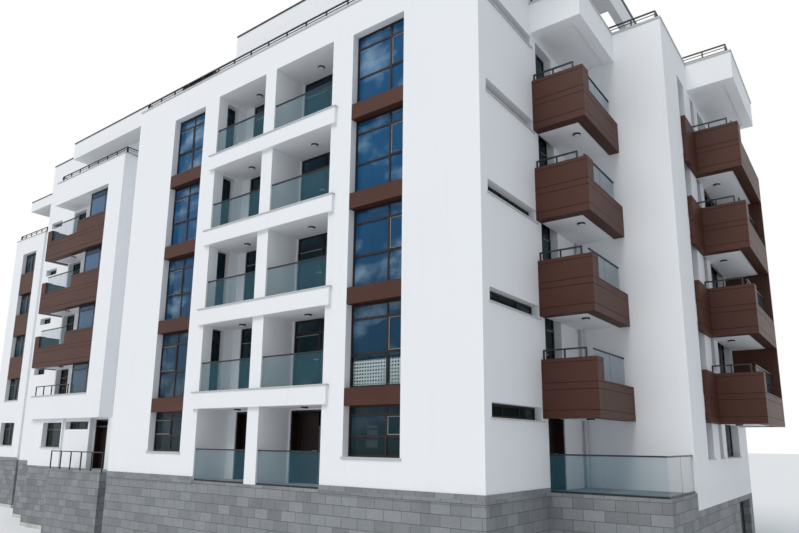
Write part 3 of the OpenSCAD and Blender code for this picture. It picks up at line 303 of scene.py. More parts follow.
def stone_finish(colours):
    """Split grey stone laid in courses, and as paving on the terrace and the landing."""
    coat = Finish("grey_stone")
    along = coat.node("ShaderNodeCombineXYZ", inputs={0: coat.x + coat.y, 1: coat.z + 0.025, 2: 0.0})
    tint, joints = coat.courses(0.3, 0.15, 0.004, along)
    flags, gaps = coat.courses(0.3, 0.3, 0.004, coat.place)
    paved = coat.z > GROUND - 0.002
    tint = coat.mix(paved, tint, flags)
    joints = joints * (1 - paved) + gaps * paved
    rugged = coat.noise(26.0, 5.0)
    broad = coat.noise(2.2, 3.0)
    colour = coat.mix(tint, darker(colours.grey_stone, 0.72), darker(colours.grey_stone, 1.28))
    colour = coat.mix((broad - 0.35).clamped() * 0.8, colour, colours.stone_vein)
    colour = coat.mix(rugged * 0.5, colour, darker(colours.grey_stone, 0.55))
    colour = coat.mix(joints * 0.8, colour, darker(colours.grey_stone, 0.35))
    height = (1 - joints) * (0.5 + rugged * 0.5)
    return coat.finished(
        Base_Color=colour, Roughness=0.7 + rugged * 0.2, Normal=coat.bump(height, 0.006, 0.8)
    )


def coping_finish(colours):
    """Honed pale stone with a fine speckle, jointed along its run."""
    coat = Finish("pale_stone")
    run = coat.node("ShaderNodeCombineXYZ", inputs={0: coat.x + coat.y, 1: 0.1, 2: 0.0})
    tint, joints = coat.courses(0.5, 1.0, 0.003, run)
    speckle = coat.noise(90.0, 4.0)
    broad = coat.noise(3.0, 2.0)
    colour = coat.mix((speckle - 0.45).clamped() * 2.0, colours.pale_stone, darker(colours.pale_stone, 0.6))
    colour = coat.mix(broad * 0.3, colour, darker(colours.pale_stone, 1.15))
    colour = coat.mix(joints * 0.6 + tint * 0.08, colour, darker(colours.pale_stone, 0.5))
    return coat.finished(
        Base_Color=colour, Roughness=0.45 + speckle * 0.2, Normal=coat.bump(speckle, 0.0006, 0.4)
    )


def panel_finish(colours):
    """Brown laminate boards: a fine grain that runs along them, and a satin face."""
    coat = Finish("brown_panel")
    grain = coat.noise(1.0, 5.0, coat.stretched((2.2, 2.2, 75.0)))
    broad = coat.noise(0.8, 3.0)
    colour = coat.mix(grain * 0.65, colours.brown_panel, darker(colours.brown_panel, 0.6))
    colour = coat.mix((broad - 0.4).clamped() * 1.4, colour, colours.panel_glow)
    return coat.finished(
        Base_Color=colour,
        Roughness=0.42 + grain * 0.18,
        Specular_IOR_Level=0.22,
        Normal=coat.bump(grain, 0.0005, 0.35),
    )


def frame_finish(name, colour, rough=0.34):
    """Coated metal or plastic: an even tone with a light orange-peel."""
    coat = Finish(name)
    peel = coat.noise(240.0, 1.0)
    wear = (coat.noise(5.0, 4.0) - 0.52).clamped() * 0.8
    return coat.finished(
        Base_Color=coat.mix(wear, colour, darker(colour, 1.7)),
        Roughness=rough + wear * 0.4,
        Specular_IOR_Level=0.3,
        Normal=coat.bump(peel, 0.0003, 0.25),
    )


def window_glass_finish(colours):
    """Double glazing painted with reflections: the sky's deep blue high on the main front, a pale painted
    haze of reflected cloud on the left bay, painted darker reflections elsewhere.
    """
    coat = Finish("window_glass")
    # Painted sky reflection: the glass runs from the low colour to the high one with height, fully where
    # the main front and the left bay reflect open sky, a fifth as much elsewhere.
    height = ((coat.z - GROUND - 0.4) / (3.0 * STOREY)).clamped()
    on_front = coat.y < main_face()
    bay = bay_corner()
    in_bay = (coat.x < bay.x) * (coat.y < bay.y)
    sky_reflection_share = (on_front + in_bay).clamped() * 0.8 + 0.2
    colour = coat.mix(height * sky_reflection_share, colours.low_glass_reflection, colours.high_glass_sky_reflection)
    # Painted cloud reflections: pale patches high up where the sky is reflected, and an even pale haze over
    # the whole left bay.
    clouds = coat.noise(1.0, 6.0, coat.stretched((1.3, 1.3, 2.0)))
    clouds = ((clouds - 0.48) * 5.0).clamped() * (1.6 - height).clamped() * height * sky_reflection_share
    clouds = clouds * (1 - in_bay) + in_bay * 0.16
    # The screened window's lower panes are clearer, so that the screens show.
    low, high = screened_window()
    head = low.z + 0.36 * (high.z - low.z)
    clear = (coat.x > low.x) * (coat.x < high.x) * (coat.z > low.z) * (coat.z < head) * on_front
    return coat.finished(
        Base_Color=coat.mix(clouds, colour, colours.glass_cloud_reflection),
        Roughness=0.03 + coat.noise(2.0) * 0.03,
        Alpha=(0.62 + clouds * 0.3) * (1 - clear * 0.75),
        IOR=1.42,
        Specular_Tint=(0.35, 0.5, 0.62, 1.0),
        Normal=coat.bump(coat.noise(0.9, 1.0), 0.004, 0.2),
    )


def railing_glass_finish(colours):
    """Laminated pale blue glass with a little dust."""
    coat = Finish("railing_glass")
    dust = coat.noise(4.0, 4.0)
    colour = coat.mix(dust * 0.25, colours.railing_glass, darker(colours.railing_glass, 1.5))
    return coat.finished(
        Base_Color=colour, Roughness=0.04 + dust * 0.05, Alpha=0.15 + dust * 0.04, IOR=1.42
    )


def screen_finish():
    """A white sheet with rows of round holes."""
    coat = Finish("white_screen")
    pitch, hole = 0.05, 0.3
    across = (coat.x / pitch).fraction() - 0.5
    upward = (coat.z / pitch).fraction() - 0.5
    sheet = (across * across + upward * upward) > hole**2
    rough = 0.5 + coat.noise(40.0) * 0.1
    return coat.finished(Base_Color=(0.7, 0.82, 0.8, 1), Roughness=rough, Alpha=sheet)


def plain_finish(name, colour, rough):
    """A small part's even finish with a fine tooth."""
    coat = Finish(name)
    tooth = coat.noise(120.0, 2.0)
    return coat.finished(
        Base_Color=coat.mix(tooth * 0.3, colour, darker(colour, 0.8)),
        Roughness=rough + tooth * 0.08,
        Normal=coat.bump(tooth, 0.0003, 0.3),
    )


def deselect():
    """Leaves edit mode and selects nothing."""
    if bpy.context.mode != "OBJECT":
        bpy.ops.object.mode_set(mode="OBJECT")
    bpy.ops.object.select_all(action="DESELECT")


def choose(*pieces):
    """Selects only these pieces, the first of them active."""
    deselect()
    for piece in pieces:
        piece.select_set(True)
    bpy.context.view_layer.objects.active = pieces[0]


def cuboid(low, high):
    """A box between two opposite corners, with its place in its mesh."""
    deselect()
    low, high = Vector(low), Vector(high)
    size = Vector(abs(b - a) for a, b in zip(low, high))
    bpy.ops.mesh.primitive_cube_add(size=1.0, location=(low + high) / 2, scale=size)
    bpy.ops.object.transform_apply(location=True, rotation=True, scale=True)
    return bpy.context.object


def pick_faces(piece, test):
    """Enters edit mode with only the faces that pass the test selected."""
    choose(piece)
    bpy.ops.object.mode_set(mode="EDIT")
    bpy.ops.mesh.select_mode(type="FACE")
    bpy.ops.mesh.select_all(action="DESELECT")
    mesh = bmesh.from_edit_mesh(piece.data)
    for face in mesh.faces:
        face.select_set(test(face))
    bmesh.update_edit_mesh(piece.data)


def ring(low, high, axis, bar):
    """A window-like frame in the box between two corners, open along the axis."""
    piece = cuboid(low, high)
    pick_faces(piece, lambda face: abs(face.normal[axis]) > 0.9)
    bpy.ops.mesh.inset(thickness=bar)
    bpy.ops.mesh.bridge_edge_loops()
    bpy.ops.object.mode_set(mode="OBJECT")
    return piece


def rounded(piece, width, segments=1):
    """Bevels the piece's sharp edges."""
    choose(piece)
    bpy.ops.object.modifier_add(type="BEVEL")
    bevel = piece.modifiers[-1]
    bevel.width = width
    bevel.segments = segments
    bevel.limit_method = "ANGLE"
    bpy.ops.object.modifier_apply(modifier=bevel.name)
    return piece


def rod(start, end, radius, vertices=16):
    """A round bar between two points."""
    deselect()
    start, end = Vector(start), Vector(end)
    bpy.ops.mesh.primitive_cylinder_add(
        vertices=vertices,
        radius=radius,
        depth=(end - start).length,
        location=(start + end) / 2,
        rotation=(end - start).to_track_quat("Z", "Y").to_euler(),
    )
    bpy.ops.object.transform_apply(location=True, rotation=True, scale=True)
    return rounded(bpy.context.object, radius / 6)


def lever_handle(spot, outward, along):
    """A round rose and a lever on a door's face, the lever running along it."""
    standoff, length = 0.034, 0.07
    rose_radius, neck_radius = 0.015, 0.006
    end = spot + outward * standoff
    half_section = outward * 0.005 + Vector((0, 0, 0.007))
    grip = cuboid(end - half_section - along * neck_radius, end + half_section + along * length)
    rose = rod(spot, spot + outward * 0.006, rose_radius, 24)
    neck = rod(spot, end, neck_radius)
    return joined("lever", [rose, neck, rounded(grip, 0.003, 2)])


def joined(name, pieces):
    """Joins pieces under one name."""
    choose(*pieces)
    if len(pieces) > 1:
        bpy.ops.object.join()
    piece = bpy.context.object
    piece.name = name
    piece.data.name = name
    return piece


def copied(piece, offset):
    """A copy with its own mesh, moved by an offset that is put in its mesh."""
    choose(piece)
    bpy.ops.object.duplicate()
    bpy.ops.transform.translate(value=offset)
    bpy.ops.object.transform_apply(location=True, rotation=False, scale=False)
    return bpy.context.object


def dress(piece, material, body=BUILDING, replaced=()):
    """Gives a finished piece its material and the body that it moves with."""
    piece.data.materials.clear()
    piece.data.materials.append(material)
    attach(piece, body)
    if replaced:
        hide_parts(*replaced)


def solids(node):
    """The lowest and highest corner of each solid of a CAD node, from left to right."""
    mesh = bmesh.new()
    mesh.from_mesh(nodes[node].data)
    bmesh.ops.remove_doubles(mesh, verts=mesh.verts, dist=1e-5)
    left = set(mesh.verts)
    boxes = []
    while left:
        reached = [left.pop()]
        for vertex in reached:
            for edge in vertex.link_edges:
                other = edge.other_vert(vertex)
                if other in left:
                    left.remove(other)
                    reached.append(other)
        corners = list(zip(*(vertex.co for vertex in reached)))
        boxes.append((Vector(map(min, corners)), Vector(map(max, corners))))
    mesh.free()
    return sorted(boxes, key=lambda box: tuple(round(place, 3) for place in (*box[0], *box[1])))


def finish_named(name):
    """The finish made for a slot or a small part."""
    return bpy.data.materials[f"{name}_finish"]


class Window:
    """A packed pane of glass, read as a window: how it runs, how it faces and where its frame ends."""

    def __init__(self, low, high, at_the_back):
        size = high - low
        self.along = 0 if size.x > size.y else 1
        self.deep = 1 - self.along
        self.facing = 1 if (self.along == 1) != at_the_back else -1
        self.low = low.copy()
        self.high = high.copy()
        for axis in (self.along, 2):
            self.low[axis] -= FRAME_FACE
            self.high[axis] += FRAME_FACE
        self.width = self.high[self.along] - self.low[self.along]
        self.height = self.high.z - self.low.z

    def cell(self, left, right, foot, head, margin=0.0):
        """Edges of a cell that is given as shares of the frame."""
        start, base = self.low[self.along], self.low.z
        return (
            start + left * self.width + margin,
            start + right * self.width - margin,
            base + foot * self.height + margin,
            base + head * self.height - margin,
        )

    def corners(self, edges, inner, outer):
        """Two opposite corners between a depth inside and one outside the middle of the glass."""
        first, second = Vector(), Vector()
        first[self.along], second[self.along], first.z, second.z = edges
        middle = (self.low[self.deep] + self.high[self.deep]) / 2
        depths = sorted((middle + self.facing * inner, middle + self.facing * outer))
        first[self.deep], second[self.deep] = depths
        return first, second

    def kind(self):
        """What windows that look alike have in common."""
        return self.along, self.facing, round(self.width, 3), round(self.height, 3)


def windows(node):
    """Every window of a packed glass node."""
    at_the_back = node.startswith("rear")
    return [Window(low, high, at_the_back) for low, high in solids(node)]


class BLOCK_PG_finishes(bpy.types.PropertyGroup):
    """Colours of the block's finishes."""

    white_render: FloatVectorProperty(
        name="Render",
        description="White render of the walls",
        subtype="COLOR",
        default=(0.82, 0.835, 0.86),
    )
    roof_felt: FloatVectorProperty(
        name="Roof felt",
        description="Roofing felt of the flat roof",
        subtype="COLOR",
        default=(0.3, 0.31, 0.31),
    )
    floor_slab: FloatVectorProperty(
        name="Floor slabs",
        description="Pale paving and concrete",
        subtype="COLOR",
        default=(0.5, 0.5, 0.48),
    )
    grey_stone: FloatVectorProperty(
        name="Grey stone",
        description="Stone of the basement",
        subtype="COLOR",
        default=(0.22, 0.235, 0.25),
    )
    stone_vein: FloatVectorProperty(
        name="Stone veins",
        description="Paler veins in the stone",
        subtype="COLOR",
        default=(0.36, 0.37, 0.38),
    )
    pale_stone: FloatVectorProperty(
        name="Pale stone",
        description="Sills and copings",
        subtype="COLOR",
        default=(0.5, 0.51, 0.52),
    )
    brown_panel: FloatVectorProperty(
        name="Brown panels",
        description="Balcony cladding",
        subtype="COLOR",
        default=(0.068, 0.026, 0.018),
    )
    panel_glow: FloatVectorProperty(
        name="Panel glow",
        description="Redder patches of the panels",
        subtype="COLOR",
        default=(0.102, 0.037, 0.024),
    )
    brown_frame: FloatVectorProperty(
        name="Brown frames",
        description="Window and door frames",
        subtype="COLOR",
        default=(0.016, 0.007, 0.0065),
    )
    # Painted reflections in the window glass: the low colour is a painted dark reflection of the
    # surroundings, the high one the painted deep blue of reflected sky.
    low_glass_reflection: FloatVectorProperty(
        name="Low glass",
        description="Glass of the ground floor",
        subtype="COLOR",
        default=(0.01, 0.022, 0.018),
    )
    high_glass_sky_reflection: FloatVectorProperty(
        name="High glass",
        description="Glass of the top floor",
        subtype="COLOR",
        default=(0.006, 0.095, 0.24),
    )
    # Painted pale reflection of clouds in the window glass.
    glass_cloud_reflection: FloatVectorProperty(
        name="Glass haze",
        description="Pale clouding of the glass",
        subtype="COLOR",
        default=(0.34, 0.5, 0.64),
    )
    railing_glass: FloatVectorProperty(
        name="Railing glass",
        description="Pale blue glass of the railings",
        subtype="COLOR",
        default=(0.04, 0.165, 0.225),
    )
    dark_metal: FloatVectorProperty(
        name="Dark metal",
        description="Railings and trims",
        subtype="COLOR",
        default=(0.018, 0.023, 0.028),
    )


class BLOCK_PG_fittings(bpy.types.PropertyGroup):
    """Sizes of the small parts that are added to the block."""

    board_gap: FloatProperty(
        name="Board gap",
        description="Open joint between cladding boards",
        unit="LENGTH",
        default=0.006,
    )
    board_depth: FloatProperty(
        name="Board depth",
        description="Thickness of a cladding board",
        unit="LENGTH",
        default=0.009,
    )
    sash_bar: FloatProperty(
        name="Sash",
        description="Face width of an opening sash",
        unit="LENGTH",
        default=0.022,
    )
    # The gasket ring is pale to paint the highlight on a sash's inner edge.
    gasket: FloatProperty(
        name="Gasket",
        description="Width of the pale gasket round a sash",
        unit="LENGTH",
        default=0.006,
    )
    lamp_radius: FloatProperty(
        name="Ceiling lamp",
        description="Radius of a balcony's ceiling lamp",
        unit="LENGTH",
        default=0.065,
    )
    slat: FloatProperty(
        name="Shutter slat",
        description="Height of a slat of the garage shutter",
        unit="LENGTH",
        default=0.04,
    )
    handle_height: FloatProperty(
        name="Handle height",
        description="Height of a door's handle above its foot",
        unit="LENGTH",
        default=0.52,
    )
    pane: FloatProperty(
        name="Railing pane",
        description="Length that a railing's panes come near",
        unit="LENGTH",
        default=0.7,
    )
    pane_gap: FloatProperty(
        name="Railing gap",
        description="Open joint between two railing panes",
        unit="LENGTH",
        default=0.01,
    )
    pipe_radius: FloatProperty(
        name="Downpipe",
        description="Radius of the downpipe",
        unit="LENGTH",
        default=0.028,
    )


class BLOCK_PG_stage(bpy.types.PropertyGroup):
    """The plain studio round the block."""

    floor_size: FloatProperty(
        name="Floor",
        description="Side of the floor",
        unit="LENGTH",
        default=400.0,
    )
    sky: FloatProperty(name="Sky", description="Strength of the even light", default=0.57)
    sun: FloatProperty(name="Sun", description="Strength of the soft sun", default=1.6)
    sun_angle: FloatProperty(
        name="Sun angle",
        description="Width of the soft sun",
        subtype="ANGLE",
        default=math.radians(35),
    )


class BLOCK_OT_camera(bpy.types.Operator):
    """Adds the camera at the corner of the main front, looking up along it"""

    bl_idname = "block.camera"
    bl_label = "Camera"

    def execute(self, context):
        deselect()
        bpy.ops.object.camera_add()
        camera = context.object
        # The place and the turn were solved from the block's straight edges in the photograph.
        place = Vector((13.165, -10.948, 2.2105))
        right = Vector((0.80257, 0.59648, 0.01001))
        up = Vector((0.11035, -0.16492, 0.98011))
        turn = Matrix((right, up, right.cross(up))).transposed().to_4x4()
        camera.matrix_world = Matrix.Translation(place) @ turn
        camera.data.sensor_width = 36.0
        camera.data.lens = 28.69
        camera.data.shift_y = 0.0584
        camera.data.clip_end = 500.0
        context.scene.camera = camera
        return {"FINISHED"}


class BLOCK_OT_stage(bpy.types.Operator):
    """Adds the pale floor, the even sky and the soft sun"""

    bl_idname = "block.stage"
    bl_label = "Studio"

    def execute(self, context):
        stage = context.scene.block_stage
        deselect()
        bpy.ops.mesh.primitive_plane_add(size=stage.floor_size)
        floor = context.object
        floor.name = "studio_floor"
        coat = Finish("studio_floor")
        mirrored = coat.node("ShaderNodeLightPath", output="Is Glossy Ray")
        through = coat.node("ShaderNodeLightPath", output="Is Transmission Ray")
        matt = coat.node("ShaderNodeBsdfDiffuse", inputs={"Color": (0.82, 0.83, 0.84, 1)})
        white = coat.node("ShaderNodeEmission", inputs={"Color": (1, 1, 1, 1), "Strength": 0.95})
        sockets = {0: mirrored + through, 1: matt, 2: white}
        coat.node_output(coat.node("ShaderNodeMixShader", inputs=sockets))
        floor.data.materials.append(coat.material)

        bpy.ops.object.light_add(type="SUN")
        sun = context.object
        sun.data.energy = stage.sun
        sun.data.angle = stage.sun_angle
        sun.data.color = (1.0, 0.975, 0.93)
        shining = Vector((0.08, 1.0, -1.1))
        sun.rotation_euler = shining.to_track_quat("-Z", "Y").to_euler()

        world = bpy.data.worlds.new("studio")
        context.scene.world = world
        world.use_nodes = True
        tree = world.node_tree
        tree.nodes.clear()
        # White where it is seen, straight, in a reflection or through glass; even light elsewhere.
        path = tree.nodes.new("ShaderNodeLightPath")
        straight_or_mirrored = tree.nodes.new("ShaderNodeMath")
        straight_or_mirrored.operation = "MAXIMUM"
        seen = tree.nodes.new("ShaderNodeMath")
        seen.operation = "MAXIMUM"
        tree.links.new(path.outputs["Is Camera Ray"], straight_or_mirrored.inputs[0])
        tree.links.new(path.outputs["Is Glossy Ray"], straight_or_mirrored.inputs[1])
        tree.links.new(straight_or_mirrored.outputs[0], seen.inputs[0])
        tree.links.new(path.outputs["Is Transmission Ray"], seen.inputs[1])
        light = tree.nodes.new("ShaderNodeBackground")
        light.inputs["Color"].default_value = (0.91, 0.97, 1.04, 1)
        light.inputs["Strength"].default_value = stage.sky
        shown = tree.nodes.new("ShaderNodeBackground")
        shown.inputs["Color"].default_value = (1, 1, 1, 1)
        blend = tree.nodes.new("ShaderNodeMixShader")
        tree.links.new(seen.outputs[0], blend.inputs[0])
        tree.links.new(light.outputs[0], blend.inputs[1])
        tree.links.new(shown.outputs[0], blend.inputs[2])
        output = tree.nodes.new("ShaderNodeOutputWorld")
        tree.links.new(blend.outputs[0], output.inputs["Surface"])
        context.scene.view_settings.view_transform = "Standard"
        return {"FINISHED"}


class BLOCK_OT_finishes(bpy.types.Operator):
    """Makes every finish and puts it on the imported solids"""

    bl_idname = "block.finishes"
    bl_label = "Finishes"

    def execute(self, context):
        colours = context.scene.block_finishes
        made = {
            "white_render": render_finish(colours),
            "concrete": terrace_finish(colours),
            "grey_stone": stone_finish(colours),
            "pale_stone": coping_finish(colours),
            "brown_panel": panel_finish(colours),
            "brown_frame": frame_finish("brown_frame", colours.brown_frame),
            "window_glass": window_glass_finish(colours),
            "railing_glass": railing_glass_finish(colours),
            "dark_metal": frame_finish("dark_metal", colours.dark_metal, 0.4),
        }
        own = {
            "roof_slabs": roof_finish(colours),
            "balcony_slabs": balcony_finish(colours, "balcony_slabs"),
            "loggia_slabs": balcony_finish(colours, "loggia_slabs"),
        }
        # Pale grey of the gasket rings, which paints the highlight on the sashes' edges.
        plain_finish("gasket_highlight", (0.55, 0.56, 0.56), 0.5)
        plain_finish("shadow_gap", (0.012, 0.008, 0.007), 0.8)
        plain_finish("pipe_paint", (0.6, 0.61, 0.62), 0.45)
        screen_finish()
        plain_finish("lamp_glass", (0.78, 0.77, 0.72), 0.25)
        frame_finish("handle_metal", (0.32, 0.32, 0.33), 0.3)
        for part in frame["record"]["subparts"]:
            solid = nodes[part["node"]]
            solid.data.materials.clear()
            solid.data.materials.append(own.get(part["node"], made[part["material_slot"]]))
        return {"FINISHED"}


class BLOCK_OT_cladding(bpy.types.Operator):
    """Clads the balconies in brown boards with open joints"""

    bl_idname = "block.cladding"
    bl_label = "Balcony cladding"

    def execute(self, context):
        fittings = context.scene.block_fittings
        gap, depth = fittings.board_gap, fittings.board_depth
        # Heights of the joints over a balcony's floor, and the height that a board has at least.
        joints = (-0.35, -0.06, 0.04, 0.33)
        least = 0.01
        boards, cores = [], []
        for low, high in solids("balcony_panels"):
            # A near-black core inside each clad block paints the shade in the boards' open joints.
            inner = Vector((depth, depth, depth / 2))
            cores.append(cuboid(low + inner, high - inner))
            floors = [level(k) for k in range(1, 5) if low.z < level(k) + 0.1 and high.z > level(k)]
            cuts = sorted({floor + joint for floor in floors for joint in joints})
            edges = [low.z, *(cut for cut in cuts if low.z + least < cut < high.z - least), high.z]
            for foot, head in zip(edges, edges[1:]):
                foot += 0 if foot == low.z else gap / 2
                head -= 0 if head == high.z else gap / 2
                boards.append(cuboid((low.x, low.y, foot), (high.x, high.y, head)))
        clad = rounded(joined("balcony_boards", boards), 0.0012)
        dress(clad, finish_named("brown_panel"), replaced=("balcony_panels",))
        # The cores take the near-black shadow-gap finish: painted shade in the open joints.
        joint_shadow_cores = rounded(joined("balcony_joint_shadow_cores", cores), 0.002)
        dress(joint_shadow_cores, finish_named("shadow_gap"))
        return {"FINISHED"}


class BLOCK_OT_lamps(bpy.types.Operator):
    """Hangs a round lamp in each loggia and under each balcony"""

    bl_idname = "block.lamps"
    bl_label = "Ceiling lamps"

    def execute(self, context):
        radius = context.scene.block_fittings.lamp_radius
        ring_height = 0.028
        spots = []
        ceilings = solids("loggia_slabs")
        for low, high in solids("railing_glass"):
            if low.y < main_face():
                above = [ceiling for ceiling in ceilings if ceiling[0].z > high.z]
                front, back = min(above, key=lambda ceiling: ceiling[0].z)
                spots.append(Vector(((low.x + high.x) / 2, (front.y + back.y) / 2, front.z)))
        for low, high in solids("balcony_slabs"):
            size = high - low
            over_a_balcony = low.z > GROUND + 0.5 and high.z < ROOF - 0.1
            if over_a_balcony and min(size.x, size.y) > 4 * radius:
                spots.append(low + Vector((size.x * self.share(low), size.y * 0.27, 0)))
        self.hang("lamp_rings", spots, radius, 0, ring_height, "dark_metal")
        self.hang("ceiling_lamps", spots, radius * 0.8, ring_height, 0.01, "lamp_glass")
        return {"FINISHED"}

    def share(self, low):
        """How far across its balcony a lamp hangs: the left, the rear and the side ones differ."""
        if low.x < loggia_middle():
            return 0.5
        terrace_side = solids("garden_terrace")[0][1].x
        return 0.4 if low.x > terrace_side - 0.05 else 0.75

    def hang(self, name, spots, radius, drop, height, finish):
        """Hangs a copy of a round body under each spot, as far below it as the drop."""
        deselect()
        bpy.ops.mesh.primitive_cylinder_add(vertices=32, radius=radius, depth=height)
        lamp = bpy.context.object
        pick_faces(lamp, lambda face: face.normal.z < -0.9)
        bpy.ops.transform.resize(value=(0.86, 0.86, 1.0))
        bpy.ops.object.mode_set(mode="OBJECT")
        rounded(lamp, height / 5, 2)
        bpy.ops.object.shade_smooth_by_angle()
        copies = [copied(lamp, spot - Vector((0, 0, drop + height / 2))) for spot in spots]
        bpy.data.objects.remove(lamp)
        dress(joined(name, copies), finish_named(finish))


def opening_cells(node, window):
    """The cells of a window that open, each as shares of its frame: left, right, foot, head."""
    # Windows of one node are told apart by their place, width and height.
    turned = window.along == 1
    if node == "front_window_glass":
        if turned or window.low.z > ROOF or window.height < 0.6:
            return ()
        if window.low.y > main_face():
            return ((0, 0.5, *DOOR_CELL),)
        right_column = window.low.x > loggia_middle()
        return ((0.67, 1, *SASH_CELL),) if right_column else ((0, 0.5, *SASH_CELL),)
    if node == "rear_window_glass":
        return ((0, 0.5, 0, 1),) if turned else ((0.5, 1, *SASH_CELL),)
    if window.height < 0.3:
        return ()
    if node == "left_window_glass":
        if window.width < 0.8:
            return ((0, 0.5, *DOOR_CELL),)
        if window.width > 1.05:
            return ((0.68, 1, *DOOR_CELL),)
        return ((0, 1, 0, 0.75),) if window.width < 1.0 else ((0, 0.5, 0, 0.75),)
    if window.width < 0.4:
        return ((0, 1, 0, 1),)
    if window.width < 0.55:
        return ((0, 1, *SASH_CELL),)
    if window.width < 0.7:
        return ((0, 0.5, *DOOR_CELL), (0.5, 1, *DOOR_CELL))
    return ((1 / 3, 2 / 3, *DOOR_CELL),)


def main_face():
    """A depth between the main front's windows and those at the loggias' backs."""
    return cad_box[0].y + 0.4


def bay_corner():
    """The corner left of which and before which only the left bay's windows stand."""
    highs = [high for _, high in solids("left_bay_walls")]
    return Vector((max(high.x for high in highs), min(high.y for high in highs), 0))


def screened_window():
    """The corners of the first floor's window right of the loggias."""
    face, middle = main_face(), loggia_middle()
    column = [
        (low, high)
        for low, high in solids("front_window_glass")
        if low.y < face and low.x > middle
    ]
    return min(column, key=lambda box: abs(box[0].z - level(1)))


def loggia_middle():
    """Where the pier between the loggias stands."""
    lows, highs = zip(*solids("loggia_bands"))
    return (min(low.x for low in lows) + max(high.x for high in highs)) / 2


class BLOCK_OT_sashes(bpy.types.Operator):
    """Hangs a sash in each part of a window that opens, with a pale gasket ring that paints the highlight
    on the sash's edge
    """

    bl_idname = "block.sashes"
    bl_label = "Opening sashes"

    def execute(self, context):
        fittings = context.scene.block_fittings
        for side in ("front", "side", "left", "rear"):
            node = f"{side}_window_glass"
            alike = {}
            for window in windows(node):
                for cell in opening_cells(node, window):
                    alike.setdefault((window.kind(), cell), []).append(window)
            sashes, gaskets = [], []
            play = 0.004
            for (_, cell), group in alike.items():
                first = group[0]
                sash = self.ring_in(first, cell, play, SASH_FACE, fittings.sash_bar)
                inside = play + fittings.sash_bar
                # The gasket ring's pale finish paints the highlight on the sash's inner edge.
                gasket = self.ring_in(first, cell, inside, GLASS / 2 + 0.007, fittings.gasket)
                rounded(sash, 0.002)
                offsets = [window.low - first.low for window in group[1:]]
                sashes += [sash, *(copied(sash, offset) for offset in offsets)]
                gaskets += [gasket, *(copied(gasket, offset) for offset in offsets)]
            dress(joined(f"{side}_sashes", sashes), finish_named("brown_frame"))
            dress(joined(f"{side}_gaskets", gaskets), finish_named("gasket_highlight"))
        return {"FINISHED"}

    def ring_in(self, window, cell, margin, face, bar):
        """A ring in a window's cell, from the glass out to a face."""
        low, high = window.corners(window.cell(*cell, margin), GLASS / 2, face)
        return ring(low, high, window.deep, bar)


class BLOCK_OT_handles(bpy.types.Operator):
    """Puts lever handles on the doors, those that open and those of the upper floors"""

    bl_idname = "block.handles"
    bl_label = "Door handles"

    def execute(self, context):
        metal = finish_named("handle_metal")
        height = context.scene.block_fittings.handle_height
        from_edge = 0.03
        for node in ("entrance_door", "terrace_door", "loggia_door_right", "loggia_door_left"):
            low, high = max(solids(node), key=lambda box: (box[1] - box[0]).length)
            deep = 0 if high.y - low.y > high.x - low.x else 1
            along = Vector()
            along[1 - deep] = -1
            levers = []
            for side in (-1, 1):
                outward = Vector()
                outward[deep] = side
                spot = Vector((high.x, high.y, low.z + height)) + along * from_edge
                spot[deep] = self.face(node, deep, side)
                levers.append(lever_handle(spot, outward, along))
            handle = joined(f"{node}_handle", levers)
            dress(handle, metal, body=f"{node}_leaf")
        fixed = []
        for node in ("front_window_glass", "side_window_glass", "left_window_glass"):
            for window in windows(node):
                doors = [cell for cell in opening_cells(node, window) if cell[2:] == DOOR_CELL]
                if doors and window.height > 1.0:
                    fixed.append(self.on_window(window, doors[0], height))
        dress(joined("upper_door_handles", fixed), metal)
        return {"FINISHED"}

    def face(self, node, deep, side):
        """A leaf's outer or inner face, past which only its hinges stand."""
        corners = [vertex.co[deep] for vertex in nodes[node].data.vertices]
        leaf = [place for place in corners if corners.count(place) >= 8]
        return max(leaf) if side > 0 else min(leaf)

    def on_window(self, window, cell, height):
        """A handle on the outer face of a glazed door that stays shut."""
        outward, along = Vector(), Vector()
        outward[window.deep] = window.facing
        along[window.along] = -1
        _, edge, _, _ = window.cell(*cell, 0.015)
        middle = (window.low[window.deep] + window.high[window.deep]) / 2
        spot = Vector((0, 0, window.low.z + height))
        spot[window.along] = edge
        spot[window.deep] = middle + window.facing * SASH_FACE
        return lever_handle(spot, outward, along)


class BLOCK_OT_railings(bpy.types.Operator):
    """Divides the glass railings into panes with bevelled edges"""

    bl_idname = "block.railings"
    bl_label = "Railing panes"

    def execute(self, context):
        fittings = context.scene.block_fittings
        half_gap = fittings.pane_gap / 2
        panes = []
        for low, high in solids("railing_glass"):
            size = high - low
            along = 0 if size.x > size.y else 1
            count = max(1, round(size[along] / fittings.pane))
            step = size[along] / count
            for i in range(count):
                start, end = low.copy(), high.copy()
                start[along] = low[along] + i * step + (half_gap if i else 0)
                end[along] = low[along] + (i + 1) * step - (half_gap if i < count - 1 else 0)
                panes.append(cuboid(start, end))
        railing = rounded(joined("railing_panes", panes), 0.0015)
        dress(railing, finish_named("railing_glass"), replaced=("railing_glass",))
        return {"FINISHED"}


